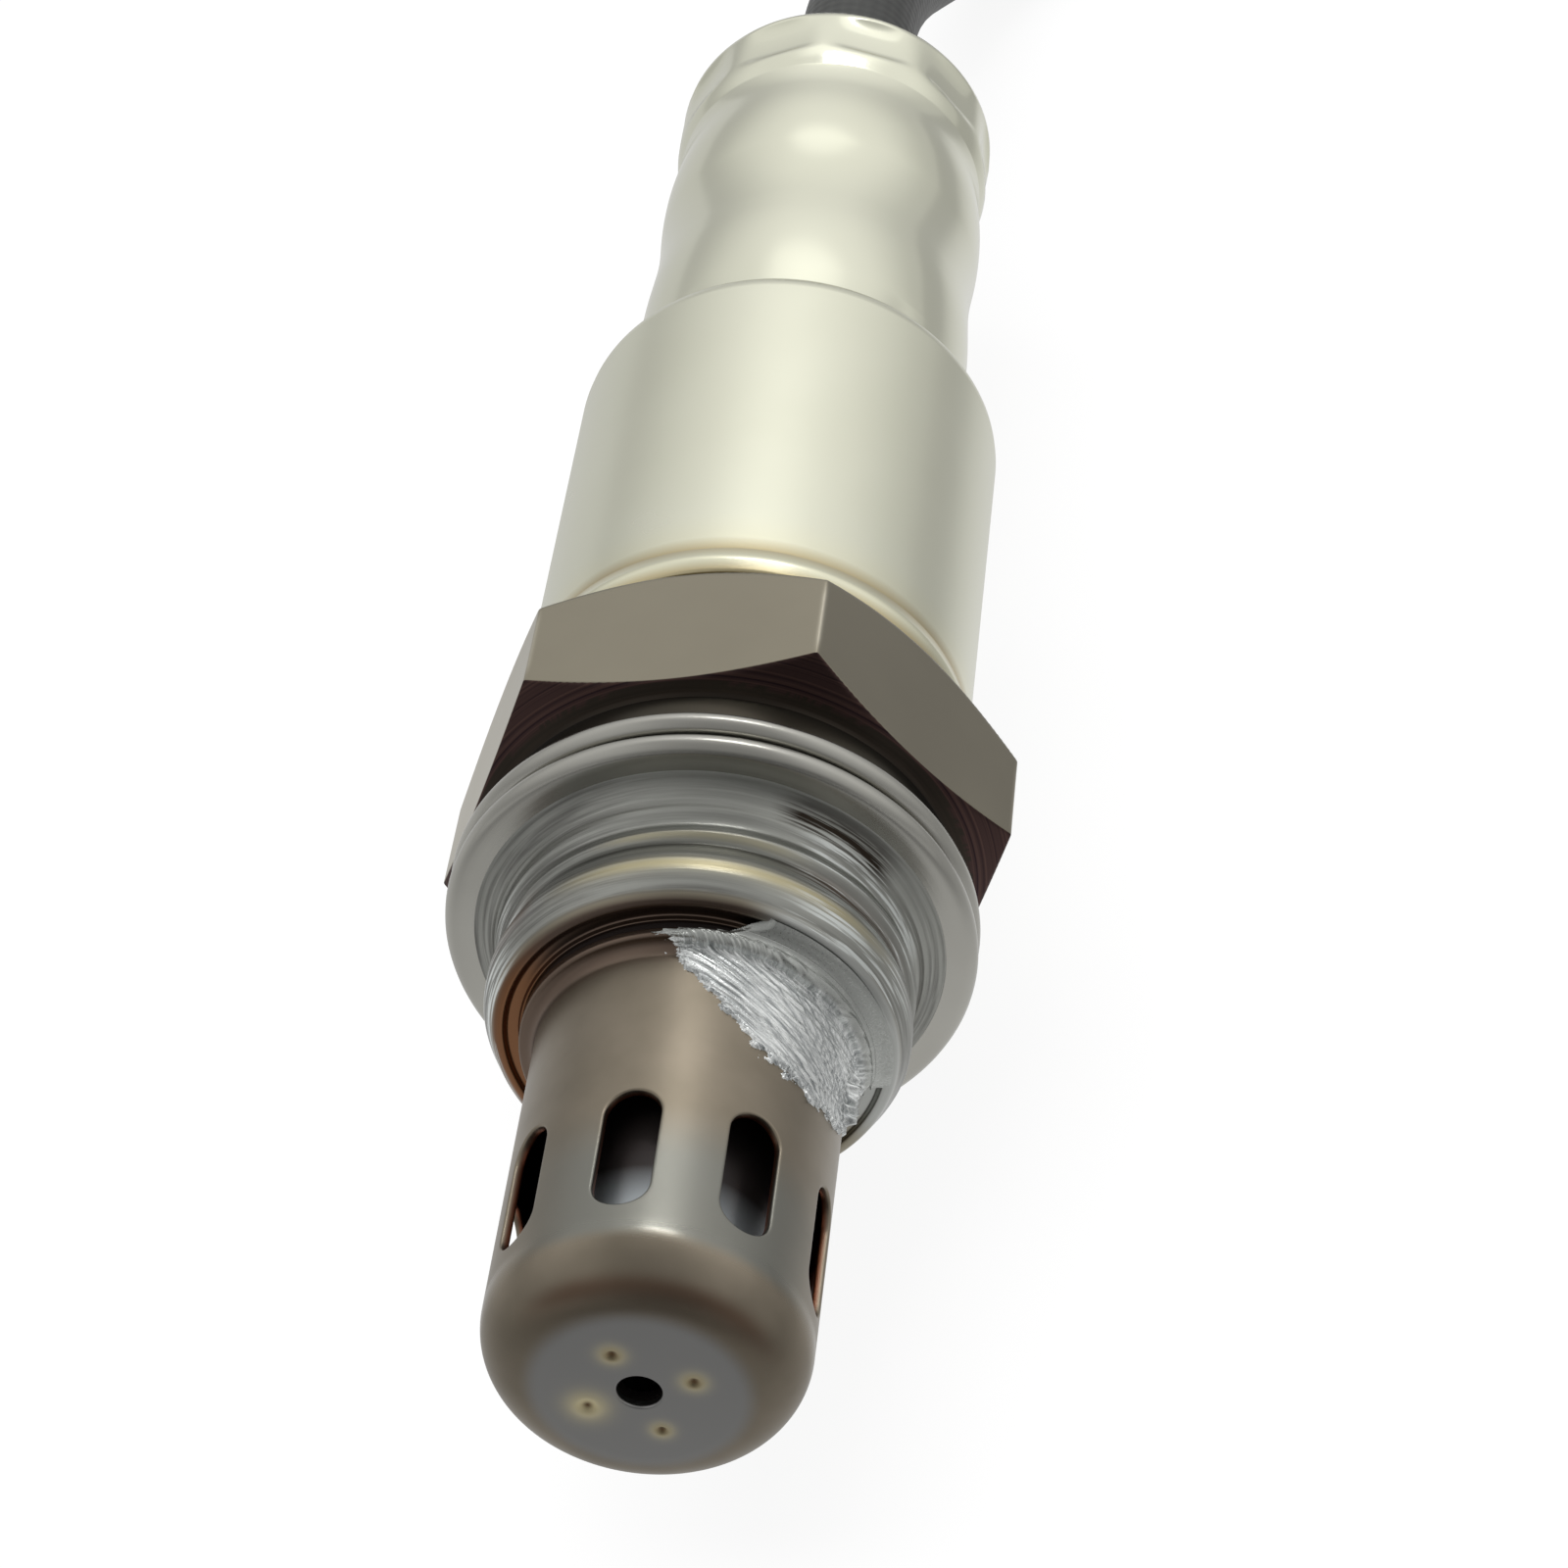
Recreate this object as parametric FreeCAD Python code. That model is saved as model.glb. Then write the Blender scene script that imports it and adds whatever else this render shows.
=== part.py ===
import FreeCAD, Part
import math
import os

# An exhaust gas oxygen sensor of the planar kind, with an M18 x 1.5 thread and a 22 mm hexagon.
# Millimetres. The axis lies along Y: the slotted tip points to -Y and the lead leaves to +Y.
# The origin is on the axis, in the sealing face under the hexagon. Z is up.
# The sensor lies on its side, on its gasket and on one corner of its hexagon.

os.makedirs("parts", exist_ok=True)
V = FreeCAD.Vector
AXIS = V(0, 1, 0)

# Fits and sheet thicknesses
SHEET = 0.4
SLIP = 0.1
TUBE_SLIP = 0.02
RUBBER_GAP = 0.03

# Thread and shell
THREAD_R = 9.0
THREAD_ROOT_R = 8.1
THREAD_FRONT = -7.0
THREAD_BACK = -3.4
FACE_Y = -9.2
FACE_R = 7.9
COLLAR_R = 10.3
HEX_FLATS = 22.0
HEX_CORNER_R = HEX_FLATS / 2 / math.cos(math.radians(30))
HEX_TURN = 22.9
HEX_FRONT = 1.3
HEX_BACK = 9.2
BARREL_R = 9.65
BARREL_END = 16.0
LIP_R = 7.7
LIP_END = 18.6
FRONT_BORE_R = 4.7
LEDGE_Y = -4.5
BORE_R = 6.4

# Folded sealing ring; its rim and the hexagon's lowest corner touch the floor together
GASKET_LEN = 3.2
GASKET_R = HEX_CORNER_R * math.cos(math.radians(HEX_TURN))
GASKET_RIM_R = GASKET_R - 2.15
GASKET_BACK_R = GASKET_R - 2.4
FOLD_R = 0.45

# Protectors
TIP_Y = -28.0
COVER_R = 6.54
COVER_EDGE = 2.7
COVER_BACK = -9.6
FLANGE_R = 7.25
INNER_COVER_R = 4.9
INNER_EDGE = 1.5
TIP_HOLE_R = 0.88
SLOT_COUNT = 8
SLOT_WIDTH = 2.5
SLOT_LENGTH = 6.1
SLOT_Y = -21.15
SLOT_TURN = -6.2
VENT_COUNT = 6
VENT_R = 0.75
VENT_Y = -13.6

# Sensing element and its seals
ELEMENT_WIDTH = 4.0
ELEMENT_THICK = 1.25
ELEMENT_FRONT = -23.5
ELEMENT_BACK = 37.5
CUP_WALL = 0.5
CUP_BACK = 3.5
HOLDER_BACK = 0.0
TALC_SPLIT = 4.5
TALC_BACK = 11.0
SLEEVE_SHOULDER = 16.5
SLEEVE_NECK_R = 5.0
SLEEVE_BACK = 23.0
PACKING_BACK = 17.5

# Outer tube
BIG_TUBE_R = BARREL_R + TUBE_SLIP + SHEET
TUBE_FRONT = 11.6
BEAD_FRONT = 10.0
BEAD_R = 10.25
SHOULDER_Y = 33.0
NECK_R = 7.9
BULGE_R = 8.14
WAIST_R = 7.77
WAIST_FRONT = 47.6
WAIST_BACK = 54.4
TUBE_BACK = 59.5
RIM_R = 6.2
JAW_COUNT = 10
JAW_TURN = 18.7
JAW_R = 8.0
JAW_FRONT = 55.2
JAW_LENGTH = 3.2

# Separator and contacts
SEPARATOR_R = 7.2
SEPARATOR_FRONT = 24.0
SEPARATOR_BACK = 46.0
SEPARATOR_GAP = 0.67
SEPARATOR_FLANGE_R = BARREL_R + TUBE_SLIP - SEPARATOR_GAP
SEPARATOR_FLANGE = 4.0
CAVITY_WIDTH = 5.2
CAVITY_HEIGHT = 4.4
CAVITY_BACK = 39.0
RING_WALL = 0.4
WIRE_PITCH = 3.2
WIRE_R = 0.85
CORE_R = 0.55
BARREL_OUT_R = 0.95
BARREL_HOLE_R = 1.05
CONTACT_X = 1.1
CONTACT_WIDTH = 1.2
CONTACT_THICK = 0.3
CONTACT_FRONT = 26.5
CRIMP_FRONT = 38.2
CRIMP_BACK = 45.0

# Grommet and lead
GROMMET_FRONT = SEPARATOR_BACK
GROMMET_BACK = 59.0
LEAD_START = 54.0
LEAD_D = 6.3
LEAD_R = LEAD_D / 2
FLOOR_Z = -GASKET_R

# Folded hank of the lead
FOLD_PITCH = 27.0
HANK_X = 8.4
HANK_FRONT = 112.0
HANK_LENGTH = 100.0
TAIL_BACK = 153.0
TIE_Y = 151.5
TIE_WIDTH = 4.0
TIE_THICK = 0.9

# Connector
PLUG_X = HANK_X - FOLD_PITCH / 2
PLUG_BACK = 164.0
PLUG_LENGTH = 45.0
PLUG_WIDTH = 24.0
PLUG_BOTTOM = FLOOR_Z + LEAD_D
PLUG_CORE_WIDTH = 20.0
PLUG_CORE_HEIGHT = 14.0
PLUG_LATCH = 3.0
LATCH_WIDTH = 6.0
LATCH_LENGTH = 9.0
LATCH_TOP = 3.0
LATCH_SETBACK = 3.0
STOP_FRONT = 8.0
STOP_LENGTH = 4.0
RAIL_THICK = 2.0
RAIL_LIFT = 3.5
PLUG_WALL = 1.8
PLUG_AXIS_Z = PLUG_BOTTOM + PLUG_CORE_HEIGHT / 2
POCKET_DEPTH = 14.0
COVER_THICK = 2.4
SEAL_BACK = 8.0
MATING_DEPTH = 19.0
PIN_PITCH_X = 5.2
PIN_PITCH_Z = 4.4
PIN_WIDTH = 1.5
PIN_THICK = 0.8
PIN_REACH = 11.0
LOCK_THICK = 2.4

# Route of the lead: straight out of the grommet, down to the floor and along it to the hank
LEAD_ROUTE = [
    V(0, LEAD_START, 0),
    V(0, 66.0, 0),
    V(2.9, 77.5, -2.0),
    V(6.2, 88.8, -6.2),
    V(HANK_X, 100.0, FLOOR_Z + LEAD_R),
    V(HANK_X, HANK_FRONT, FLOOR_Z + LEAD_R),
]


def outline(points, to_vector):
    """Closed wire through the corners (a, b) or (a, b, fillet), with tangent arcs at the fillets."""
    edges = []
    joints = []
    count = len(points)
    for i, point in enumerate(points):
        corner = to_vector(*point[:2])
        fillet = point[2] if len(point) > 2 else 0
        before = (to_vector(*points[i - 1][:2]) - corner).normalize()
        after = (to_vector(*points[(i + 1) % count][:2]) - corner).normalize()
        if not fillet:
            joints.append((corner, corner, None))
            continue
        half = before.getAngle(after) / 2
        reach = fillet / math.tan(half)
        middle = (before + after).normalize() * (fillet / math.sin(half) - fillet)
        joints.append((corner + before * reach, corner + after * reach, corner + middle))
    for i, (start, end, middle) in enumerate(joints):
        if middle is not None:
            edges.append(Part.Arc(start, middle, end).toShape())
        following = joints[(i + 1) % count][0]
        if (following - end).Length > 1e-6:
            edges.append(Part.LineSegment(end, following).toShape())
    return Part.Wire(edges)


def turned(points):
    """Solid of revolution about the sensor's axis; the corners are (radius, y) with optional fillets."""
    face = Part.Face(outline(points, lambda r, y: V(r, y, 0)))
    return face.revolve(V(0, 0, 0), AXIS, 360)


def rod(radius, front, back, x=0.0, z=0.0):
    """Cylinder along Y."""
    return Part.makeCylinder(radius, back - front, V(x, front, z), AXIS)


def block(width, front, back, height, x=0.0, z=0.0):
    """Box centred on x and z that runs from front to back along Y."""
    return Part.makeBox(width, back - front, height, V(x - width / 2, front, z - height / 2))


def rounded_bar(width, height, radius, front, back, x, z):
    """Bar along Y with a rounded rectangular section."""
    corners = [(-1, -1), (1, -1), (1, 1), (-1, 1)]
    points = [(x + a * width / 2, z + b * height / 2, radius) for a, b in corners]
    face = Part.Face(outline(points, lambda px, pz: V(px, front, pz)))
    return face.extrude(V(0, back - front, 0))


def spun(shape, degrees):
    """Copy of a shape turned about the sensor's axis, from up toward +X."""
    copy = shape.copy()
    copy.rotate(V(0, 0, 0), AXIS, degrees)
    return copy


def around(shape, count, start):
    return [spun(shape, start + 360 * i / count) for i in range(count)]


def element_slot(front, back, clearance):
    return block(ELEMENT_WIDTH + 2 * clearance, front, back, ELEMENT_THICK + 2 * clearance)


def save(name, shape):
    """Write one solid, or several solids of one kind, to its own STEP file."""
    shape = shape.removeSplitter() if len(shape.Solids) == 1 else shape
    if len(shape.Solids) == 1:
        shape = shape.Solids[0]
    if shape.Volume < 0:
        shape.reverse()
    shape.exportStep("parts/" + name + ".step")
    box = shape.BoundBox
    print(
        f"{name}: {len(shape.Solids)} solid, valid {shape.isValid()}, {shape.Volume:.1f} mm3, "
        f"x {box.XMin:.2f} {box.XMax:.2f} y {box.YMin:.2f} {box.YMax:.2f} z {box.ZMin:.2f} {box.ZMax:.2f}"
    )


# Shell: turned body with the thread, the collar, the hexagon and the crimped lip in one piece
def hexagon():
    corners = []
    for i in range(6):
        angle = math.radians(HEX_TURN + 60 * i)
        corners.append(V(HEX_CORNER_R * math.sin(angle), HEX_FRONT, HEX_CORNER_R * math.cos(angle)))
    prism = Part.Face(Part.makePolygon(corners + corners[:1])).extrude(V(0, HEX_BACK - HEX_FRONT, 0))
    cone_front = HEX_FRONT + 0.5 * (HEX_CORNER_R - COLLAR_R)
    cone_back = HEX_BACK - 0.78 * (HEX_CORNER_R - COLLAR_R)
    return prism.common(
        turned(
            [
                (0, HEX_FRONT),
                (COLLAR_R, HEX_FRONT),
                (HEX_CORNER_R, cone_front),
                (HEX_CORNER_R, cone_back),
                (COLLAR_R, HEX_BACK),
                (0, HEX_BACK),
            ]
        )
    )


def shell():
    body = turned(
        [
            (0, FACE_Y),
            (FACE_R, FACE_Y, 0.15),
            (8.3, -8.15, 0.3),
            (8.6, THREAD_FRONT - 0.1),
            (THREAD_R, THREAD_FRONT + 0.3),
            (THREAD_R, THREAD_BACK - 0.4),
            (THREAD_ROOT_R, THREAD_BACK),
            (THREAD_ROOT_R, 0, 0.2),
            (COLLAR_R, 0, 0.15),
            (COLLAR_R, HEX_FRONT),
            (COLLAR_R, HEX_BACK - 0.4),
            (BARREL_R, HEX_BACK, 0.2),
            (BARREL_R, BARREL_END, 0.4),
            (LIP_R, BARREL_END, 0.3),
            (LIP_R, LIP_END, 1.0),
            (0, LIP_END),
        ]
    )
    bores = turned(
        [
            (0, FACE_Y - 1),
            (FRONT_BORE_R, FACE_Y - 1),
            (FRONT_BORE_R, LEDGE_Y),
            (BORE_R, LEDGE_Y, 0.2),
            (BORE_R, PACKING_BACK, 0.3),
            (SLEEVE_NECK_R + 3 * SLIP, PACKING_BACK),
            (SLEEVE_NECK_R + 3 * SLIP, LIP_END + 1),
            (0, LIP_END + 1),
        ]
    )
    return body.fuse(hexagon()).cut(bores)


# Sealing ring: sheet steel folded into a double S, open to the bore
def gasket():
    half = SHEET / 2
    front = -GASKET_LEN + half
    back = -half
    turn_r = GASKET_R - FOLD_R - half
    second = front + 2 * FOLD_R
    third = back - 2 * FOLD_R
    inner_r = GASKET_RIM_R + (third - second) / 2
    path = [
        Part.LineSegment(V(GASKET_RIM_R + half, front, 0), V(turn_r, front, 0)),
        Part.Arc(V(turn_r, front, 0), V(turn_r + FOLD_R, front + FOLD_R, 0), V(turn_r, second, 0)),
        Part.LineSegment(V(turn_r, second, 0), V(inner_r, second, 0)),
        Part.Arc(
            V(inner_r, second, 0),
            V(inner_r - (third - second) / 2, (second + third) / 2, 0),
            V(inner_r, third, 0),
        ),
        Part.LineSegment(V(inner_r, third, 0), V(turn_r, third, 0)),
        Part.Arc(V(turn_r, third, 0), V(turn_r + FOLD_R, third + FOLD_R, 0), V(turn_r, back, 0)),
        Part.LineSegment(V(turn_r, back, 0), V(GASKET_BACK_R + half, back, 0)),
    ]
    centre = Part.Wire([piece.toShape() for piece in path])
    section = centre.makeOffset2D(half)
    return Part.Face(section).revolve(V(0, 0, 0), AXIS, 360)


# Protectors: two drawn cups with a flange each, one inside the other
def flanged_cup(radius, edge, tip, flange_back, flange_r, bend):
    flange_front = flange_back - SHEET
    inner_r = radius - SHEET
    return turned(
        [
            (TIP_HOLE_R, tip),
            (radius, tip, edge),
            (radius, flange_front, bend),
            (flange_r, flange_front, 0.1),
            (flange_r, flange_back),
            (inner_r, flange_back, bend),
            (inner_r, tip + SHEET, max(edge - SHEET, 0.3)),
            (TIP_HOLE_R, tip + SHEET),
        ]
    )


def outer_protector():
    cup = flanged_cup(COVER_R, COVER_EDGE, TIP_Y, COVER_BACK, FLANGE_R, 0.5)
    reach = COVER_R + 1
    straight = (SLOT_LENGTH - SLOT_WIDTH) / 2
    slot = Part.makeBox(SLOT_WIDTH, 2 * straight, reach, V(-SLOT_WIDTH / 2, SLOT_Y - straight, 0))
    for end in (-straight, straight):
        slot = slot.fuse(Part.makeCylinder(SLOT_WIDTH / 2, reach, V(0, SLOT_Y + end, 0), V(0, 0, 1)))
    return cup.cut(around(slot, SLOT_COUNT, SLOT_TURN))


def inner_protector():
    cup = flanged_cup(INNER_COVER_R, INNER_EDGE, TIP_Y + SHEET, FACE_Y, FLANGE_R - 0.1, 0.4)
    vent = Part.makeCylinder(VENT_R, INNER_COVER_R + 1, V(0, VENT_Y, 0), V(0, 0, 1))
    return cup.cut(around(vent, VENT_COUNT, SLOT_TURN))


# Sensing element: a ceramic strip held in a cup, two talc rings and a ceramic sleeve
def sensing_element():
    strip = block(ELEMENT_WIDTH, ELEMENT_FRONT, ELEMENT_BACK, ELEMENT_THICK)
    ends = [edge for edge in strip.Edges if abs(edge.BoundBox.YLength) < 1e-6]
    return strip.makeChamfer(0.2, ends)


def metal_cup():
    outer_r = BORE_R - SLIP
    return turned(
        [
            (4.2, LEDGE_Y),
            (outer_r, LEDGE_Y, 0.5),
            (outer_r, CUP_BACK),
            (outer_r - CUP_WALL, CUP_BACK),
            (outer_r - CUP_WALL, LEDGE_Y + CUP_WALL, 0.2),
            (4.2, LEDGE_Y + CUP_WALL),
        ]
    )


def ceramic_holder():
    outer_r = BORE_R - 2 * SLIP - CUP_WALL
    body = turned(
        [
            (0, LEDGE_Y + CUP_WALL),
            (outer_r, LEDGE_Y + CUP_WALL, 0.4),
            (outer_r, HOLDER_BACK, 0.3),
            (0, HOLDER_BACK),
        ]
    )
    return body.cut(element_slot(LEDGE_Y, HOLDER_BACK + 1, SLIP))


def front_talc():
    """The first ring fills the cup and spreads over its rim."""
    inside_r = BORE_R - SLIP - CUP_WALL
    body = rod(inside_r, HOLDER_BACK, CUP_BACK).fuse(rod(BORE_R, CUP_BACK, TALC_SPLIT))
    return body.cut(element_slot(HOLDER_BACK - 1, TALC_SPLIT + 1, 0))


def rear_talc():
    return rod(BORE_R, TALC_SPLIT, TALC_BACK).cut(element_slot(TALC_SPLIT - 1, TALC_BACK + 1, 0))


def ceramic_sleeve():
    body = turned(
        [
            (0, TALC_BACK),
            (BORE_R - SLIP, TALC_BACK, 0.3),
            (BORE_R - SLIP, SLEEVE_SHOULDER, 0.3),
            (SLEEVE_NECK_R, SLEEVE_SHOULDER, 0.2),
            (SLEEVE_NECK_R, SLEEVE_BACK, 0.4),
            (0, SLEEVE_BACK),
        ]
    )
    return body.cut(element_slot(TALC_BACK - 1, SLEEVE_BACK + 1, SLIP))


def packing_ring():
    """Soft metal ring that the shell's lip presses onto the sleeve's shoulder."""
    inner_r = SLEEVE_NECK_R + SLIP
    return turned(
        [
            (inner_r, SLEEVE_SHOULDER, 0.25),
            (BORE_R - SLIP, SLEEVE_SHOULDER, 0.25),
            (BORE_R - SLIP, PACKING_BACK, 0.45),
            (inner_r, PACKING_BACK, 0.25),
        ]
    )


# Outer tube: stepped, welded to the shell's barrel and crimped over the grommet
def outer_tube():
    flat = SHOULDER_Y - SHEET
    tube = turned(
        [
            (BARREL_R + TUBE_SLIP, BEAD_FRONT),
            (BEAD_R - 0.2, BEAD_FRONT, 0.2),
            (BEAD_R, BEAD_FRONT + 0.8, 0.6),
            (BIG_TUBE_R, TUBE_FRONT),
            (BIG_TUBE_R, SHOULDER_Y, 1.0),
            (NECK_R, SHOULDER_Y, 0.5),
            (NECK_R, 37.6, 0.8),
            (BULGE_R, 38.4, 0.8),
            (BULGE_R, WAIST_FRONT - 0.5, 0.4),
            (WAIST_R, WAIST_FRONT, 0.4),
            (WAIST_R, WAIST_BACK, 0.4),
            (BULGE_R, WAIST_BACK + 0.6, 0.4),
            (BULGE_R, TUBE_BACK, 1.0),
            (RIM_R, TUBE_BACK, 0.15),
            (RIM_R, TUBE_BACK - SHEET),
            (BULGE_R - SHEET, TUBE_BACK - SHEET, 0.6),
            (BULGE_R - SHEET, WAIST_BACK + 0.8, 0.4),
            (WAIST_R - SHEET, WAIST_BACK + 0.2, 0.4),
            (WAIST_R - SHEET, WAIST_FRONT - 0.2, 0.4),
            (BULGE_R - SHEET, WAIST_FRONT - 0.7, 0.4),
            (BULGE_R - SHEET, 38.2, 0.8),
            (NECK_R - SHEET, 37.4, 0.8),
            (NECK_R - SHEET, flat, 0.9),
            (BARREL_R + TUBE_SLIP, flat, 0.6),
        ]
    )
    jaw = block(8, JAW_FRONT, JAW_FRONT + JAW_LENGTH, 4, z=JAW_R + 2)
    return tube.cut(around(jaw, JAW_COUNT, JAW_TURN))


# Separator: ceramic block that carries the four contacts, held by a clamped spring ring
def wire_places():
    half = WIRE_PITCH / 2
    return {
        "upper_left": (-half, half),
        "upper_right": (half, half),
        "lower_left": (-half, -half),
        "lower_right": (half, -half),
    }


def separator():
    flange_back = SHOULDER_Y - SHEET
    body = turned(
        [
            (0, SEPARATOR_FRONT),
            (SEPARATOR_R, SEPARATOR_FRONT, 0.5),
            (SEPARATOR_R, flange_back - SEPARATOR_FLANGE),
            (SEPARATOR_FLANGE_R, flange_back - SEPARATOR_FLANGE, 0.4),
            (SEPARATOR_FLANGE_R, flange_back, 0.5),
            (SEPARATOR_R, flange_back),
            (SEPARATOR_R, SEPARATOR_BACK, 0.6),
            (0, SEPARATOR_BACK),
        ]
    )
    body = body.cut(block(CAVITY_WIDTH, SEPARATOR_FRONT - 1, CAVITY_BACK, CAVITY_HEIGHT))
    for x, z in wire_places().values():
        body = body.cut(rod(BARREL_HOLE_R, CAVITY_BACK - 1, SEPARATOR_BACK + 1, x, z))
    return body


def holding_ring():
    flange_front = SHOULDER_Y - SHEET - SEPARATOR_FLANGE
    outer_r = BIG_TUBE_R - SHEET
    return turned(
        [
            (outer_r - RING_WALL, SEPARATOR_FRONT + 0.6),
            (outer_r, SEPARATOR_FRONT + 0.6),
            (outer_r, flange_front, 0.6),
            (SEPARATOR_R + SLIP, flange_front),
            (SEPARATOR_R + SLIP, flange_front - RING_WALL),
            (outer_r - RING_WALL, flange_front - RING_WALL, 0.2),
        ]
    )


def contact(x, z):
    """Spring strip that bears on one pad of the element and ends in a crimp barrel on the wire."""
    side = 1 if x > 0 else -1
    up = 1 if z > 0 else -1
    pad = ELEMENT_THICK / 2
    spine = [
        (CONTACT_FRONT, pad + 0.7),
        (CONTACT_FRONT + 2.0, pad),
        (CONTACT_FRONT + 7.0, pad),
        (CRIMP_FRONT - 2.2, abs(z) - CONTACT_THICK / 2),
        (CRIMP_FRONT + 0.6, abs(z) - CONTACT_THICK / 2),
    ]
    lower = [(y, level) for y, level in spine]
    upper = [(y, level + CONTACT_THICK) for y, level in reversed(spine)]
    left = side * CONTACT_X - CONTACT_WIDTH / 2
    face = Part.Face(outline(lower + upper, lambda y, level: V(left, y, up * level)))
    strip = face.extrude(V(CONTACT_WIDTH, 0, 0))
    barrel = rod(BARREL_OUT_R, CRIMP_FRONT, CRIMP_BACK, x, z)
    core = rod(CORE_R, CRIMP_FRONT + 1.0, SEPARATOR_BACK, x, z)
    return strip.fuse(barrel).cut(core)


def lead_wire(x, z):
    """Insulated wire from its crimp barrel through the grommet to the sleeve."""
    core = rod(CORE_R, CRIMP_FRONT + 1.0, CRIMP_BACK, x, z)
    return core.fuse(rod(WIRE_R, CRIMP_BACK, LEAD_START, x, z))


# Grommet: moulded rubber plug, pressed in by the crimp, with the lead sleeve in its recess
def grommet():
    gap = SHEET + RUBBER_GAP
    body = turned(
        [
            (0, GROMMET_FRONT),
            (BULGE_R - gap, GROMMET_FRONT, 0.3),
            (BULGE_R - gap, WAIST_FRONT - 0.8, 0.4),
            (WAIST_R - gap, WAIST_FRONT - 0.3, 0.4),
            (WAIST_R - gap, WAIST_BACK + 0.3, 0.4),
            (BULGE_R - gap, WAIST_BACK + 0.9, 0.4),
            (BULGE_R - gap, TUBE_BACK - gap, 0.8),
            (RIM_R - SLIP, TUBE_BACK - gap),
            (RIM_R - SLIP, GROMMET_BACK + 0.3, 0.25),
            (LEAD_R + 0.4, GROMMET_BACK),
            (0, GROMMET_BACK),
        ]
    )
    body = body.cut(rod(LEAD_R, LEAD_START, TUBE_BACK + 1))
    for x, z in wire_places().values():
        body = body.cut(rod(WIRE_R, GROMMET_FRONT - 1, LEAD_START + 1, x, z))
    return body


# Lead: one tube from the grommet to the hank
def lead_path(points):
    """Straight runs joined by tangent arcs, each as large as its two runs allow."""
    edges = []
    start = points[0]
    for before, corner, after in zip(points, points[1:], points[2:]):
        back = before - corner
        ahead = after - corner
        half_turn = (math.pi - back.getAngle(ahead)) / 2
        reach = 0.45 * min(back.Length, ahead.Length)
        radius = reach / math.tan(half_turn)
        back.normalize()
        ahead.normalize()
        first = corner + back * reach
        last = corner + ahead * reach
        inward = (back + ahead).normalize()
        middle = corner + inward * (radius / math.cos(half_turn) - radius)
        edges.append(Part.LineSegment(start, first).toShape())
        edges.append(Part.Arc(first, middle, last).toShape())
        start = last
        print(f"lead bend: radius {radius:.1f} mm, turn {math.degrees(2 * half_turn):.1f} degrees")
    edges.append(Part.LineSegment(start, points[-1]).toShape())
    return Part.Wire(edges)


def lead_sleeve():
    path = lead_path(LEAD_ROUTE)
    heading = LEAD_ROUTE[1] - LEAD_ROUTE[0]
    section = Part.Wire([Part.makeCircle(LEAD_R, LEAD_ROUTE[0], heading)])
    tube = path.makePipeShell([section], True, False)
    expected = math.pi * LEAD_R**2 * path.Length
    print(f"lead run: {path.Length:.1f} mm, volume ratio {tube.Volume / expected:.4f}")
    return tube


def stadium(width, length, front, bottom, height):
    """Flat bar on the hank's middle line with fully rounded ends."""
    radius = width / 2
    left = PLUG_X - radius
    body = Part.makeBox(width, length - width, height, V(left, front + radius, bottom))
    for y in (front + radius, front + length - radius):
        body = body.fuse(Part.makeCylinder(radius, height, V(PLUG_X, y, bottom), V(0, 0, 1)))
    return body


def lead_hank():
    """Outer shape of the folded lead's lower layer, with the run that enters it."""
    width = FOLD_PITCH + LEAD_D
    first = stadium(width, HANK_LENGTH, HANK_FRONT, FLOOR_Z, LEAD_D)
    entry = Part.makeBox(LEAD_D, width / 2, LEAD_D, V(HANK_X - LEAD_R, HANK_FRONT, FLOOR_Z))
    return first.fuse(entry).cut(tie_loop(TIE_THICK, 1.0))


def lead_tail():
    """Outer shape of the turn that crosses over the hank and rises to the connector."""
    width = FOLD_PITCH + LEAD_D
    left = PLUG_X - width / 2
    top = FLOOR_Z + LEAD_D
    turn = stadium(width, 2 * width, HANK_FRONT, top, LEAD_D)
    turn = turn.common(Part.makeBox(width, 0.9 * width, LEAD_D, V(left, HANK_FRONT, top)))
    tail_front = HANK_FRONT + width / 2
    tail_left = PLUG_X - LEAD_R
    height = PLUG_AXIS_Z + LEAD_R - top
    tail = Part.makeBox(LEAD_D, TAIL_BACK - tail_front, height, V(tail_left, tail_front, top))
    return turn.fuse(tail)


def tie_loop(thickness, spare):
    """Flat band around the two runs of the hank; spare widens it outward for use as a cutter."""
    width = FOLD_PITCH + LEAD_D
    middle_z = FLOOR_Z + LEAD_R
    back = TIE_Y + TIE_WIDTH
    outer = rounded_bar(
        width + 2 * spare, LEAD_D + 2 * spare, 1.5 + spare, TIE_Y, back, PLUG_X, middle_z
    )
    inner = rounded_bar(
        width - 2 * thickness, LEAD_D - 2 * thickness, 0.6, TIE_Y - 1, back + 1, PLUG_X, middle_z
    )
    return outer.cut(inner)


def hank_tie():
    """Cable tie with its lock on top of the left run."""
    left = PLUG_X - FOLD_PITCH / 2
    lock = Part.makeBox(6, TIE_WIDTH + 1.6, 3.6, V(left, TIE_Y - 0.8, FLOOR_Z + LEAD_D))
    return tie_loop(TIE_THICK, 0).fuse(lock)


# Connector: four-way housing with its pins, wire seal, seal cover and pin lock
def pin_places():
    half_x = PIN_PITCH_X / 2
    half_z = PIN_PITCH_Z / 2
    return {
        "upper_left": (PLUG_X - half_x, PLUG_AXIS_Z + half_z),
        "upper_right": (PLUG_X + half_x, PLUG_AXIS_Z + half_z),
        "lower_left": (PLUG_X - half_x, PLUG_AXIS_Z - half_z),
        "lower_right": (PLUG_X + half_x, PLUG_AXIS_Z - half_z),
    }


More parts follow.
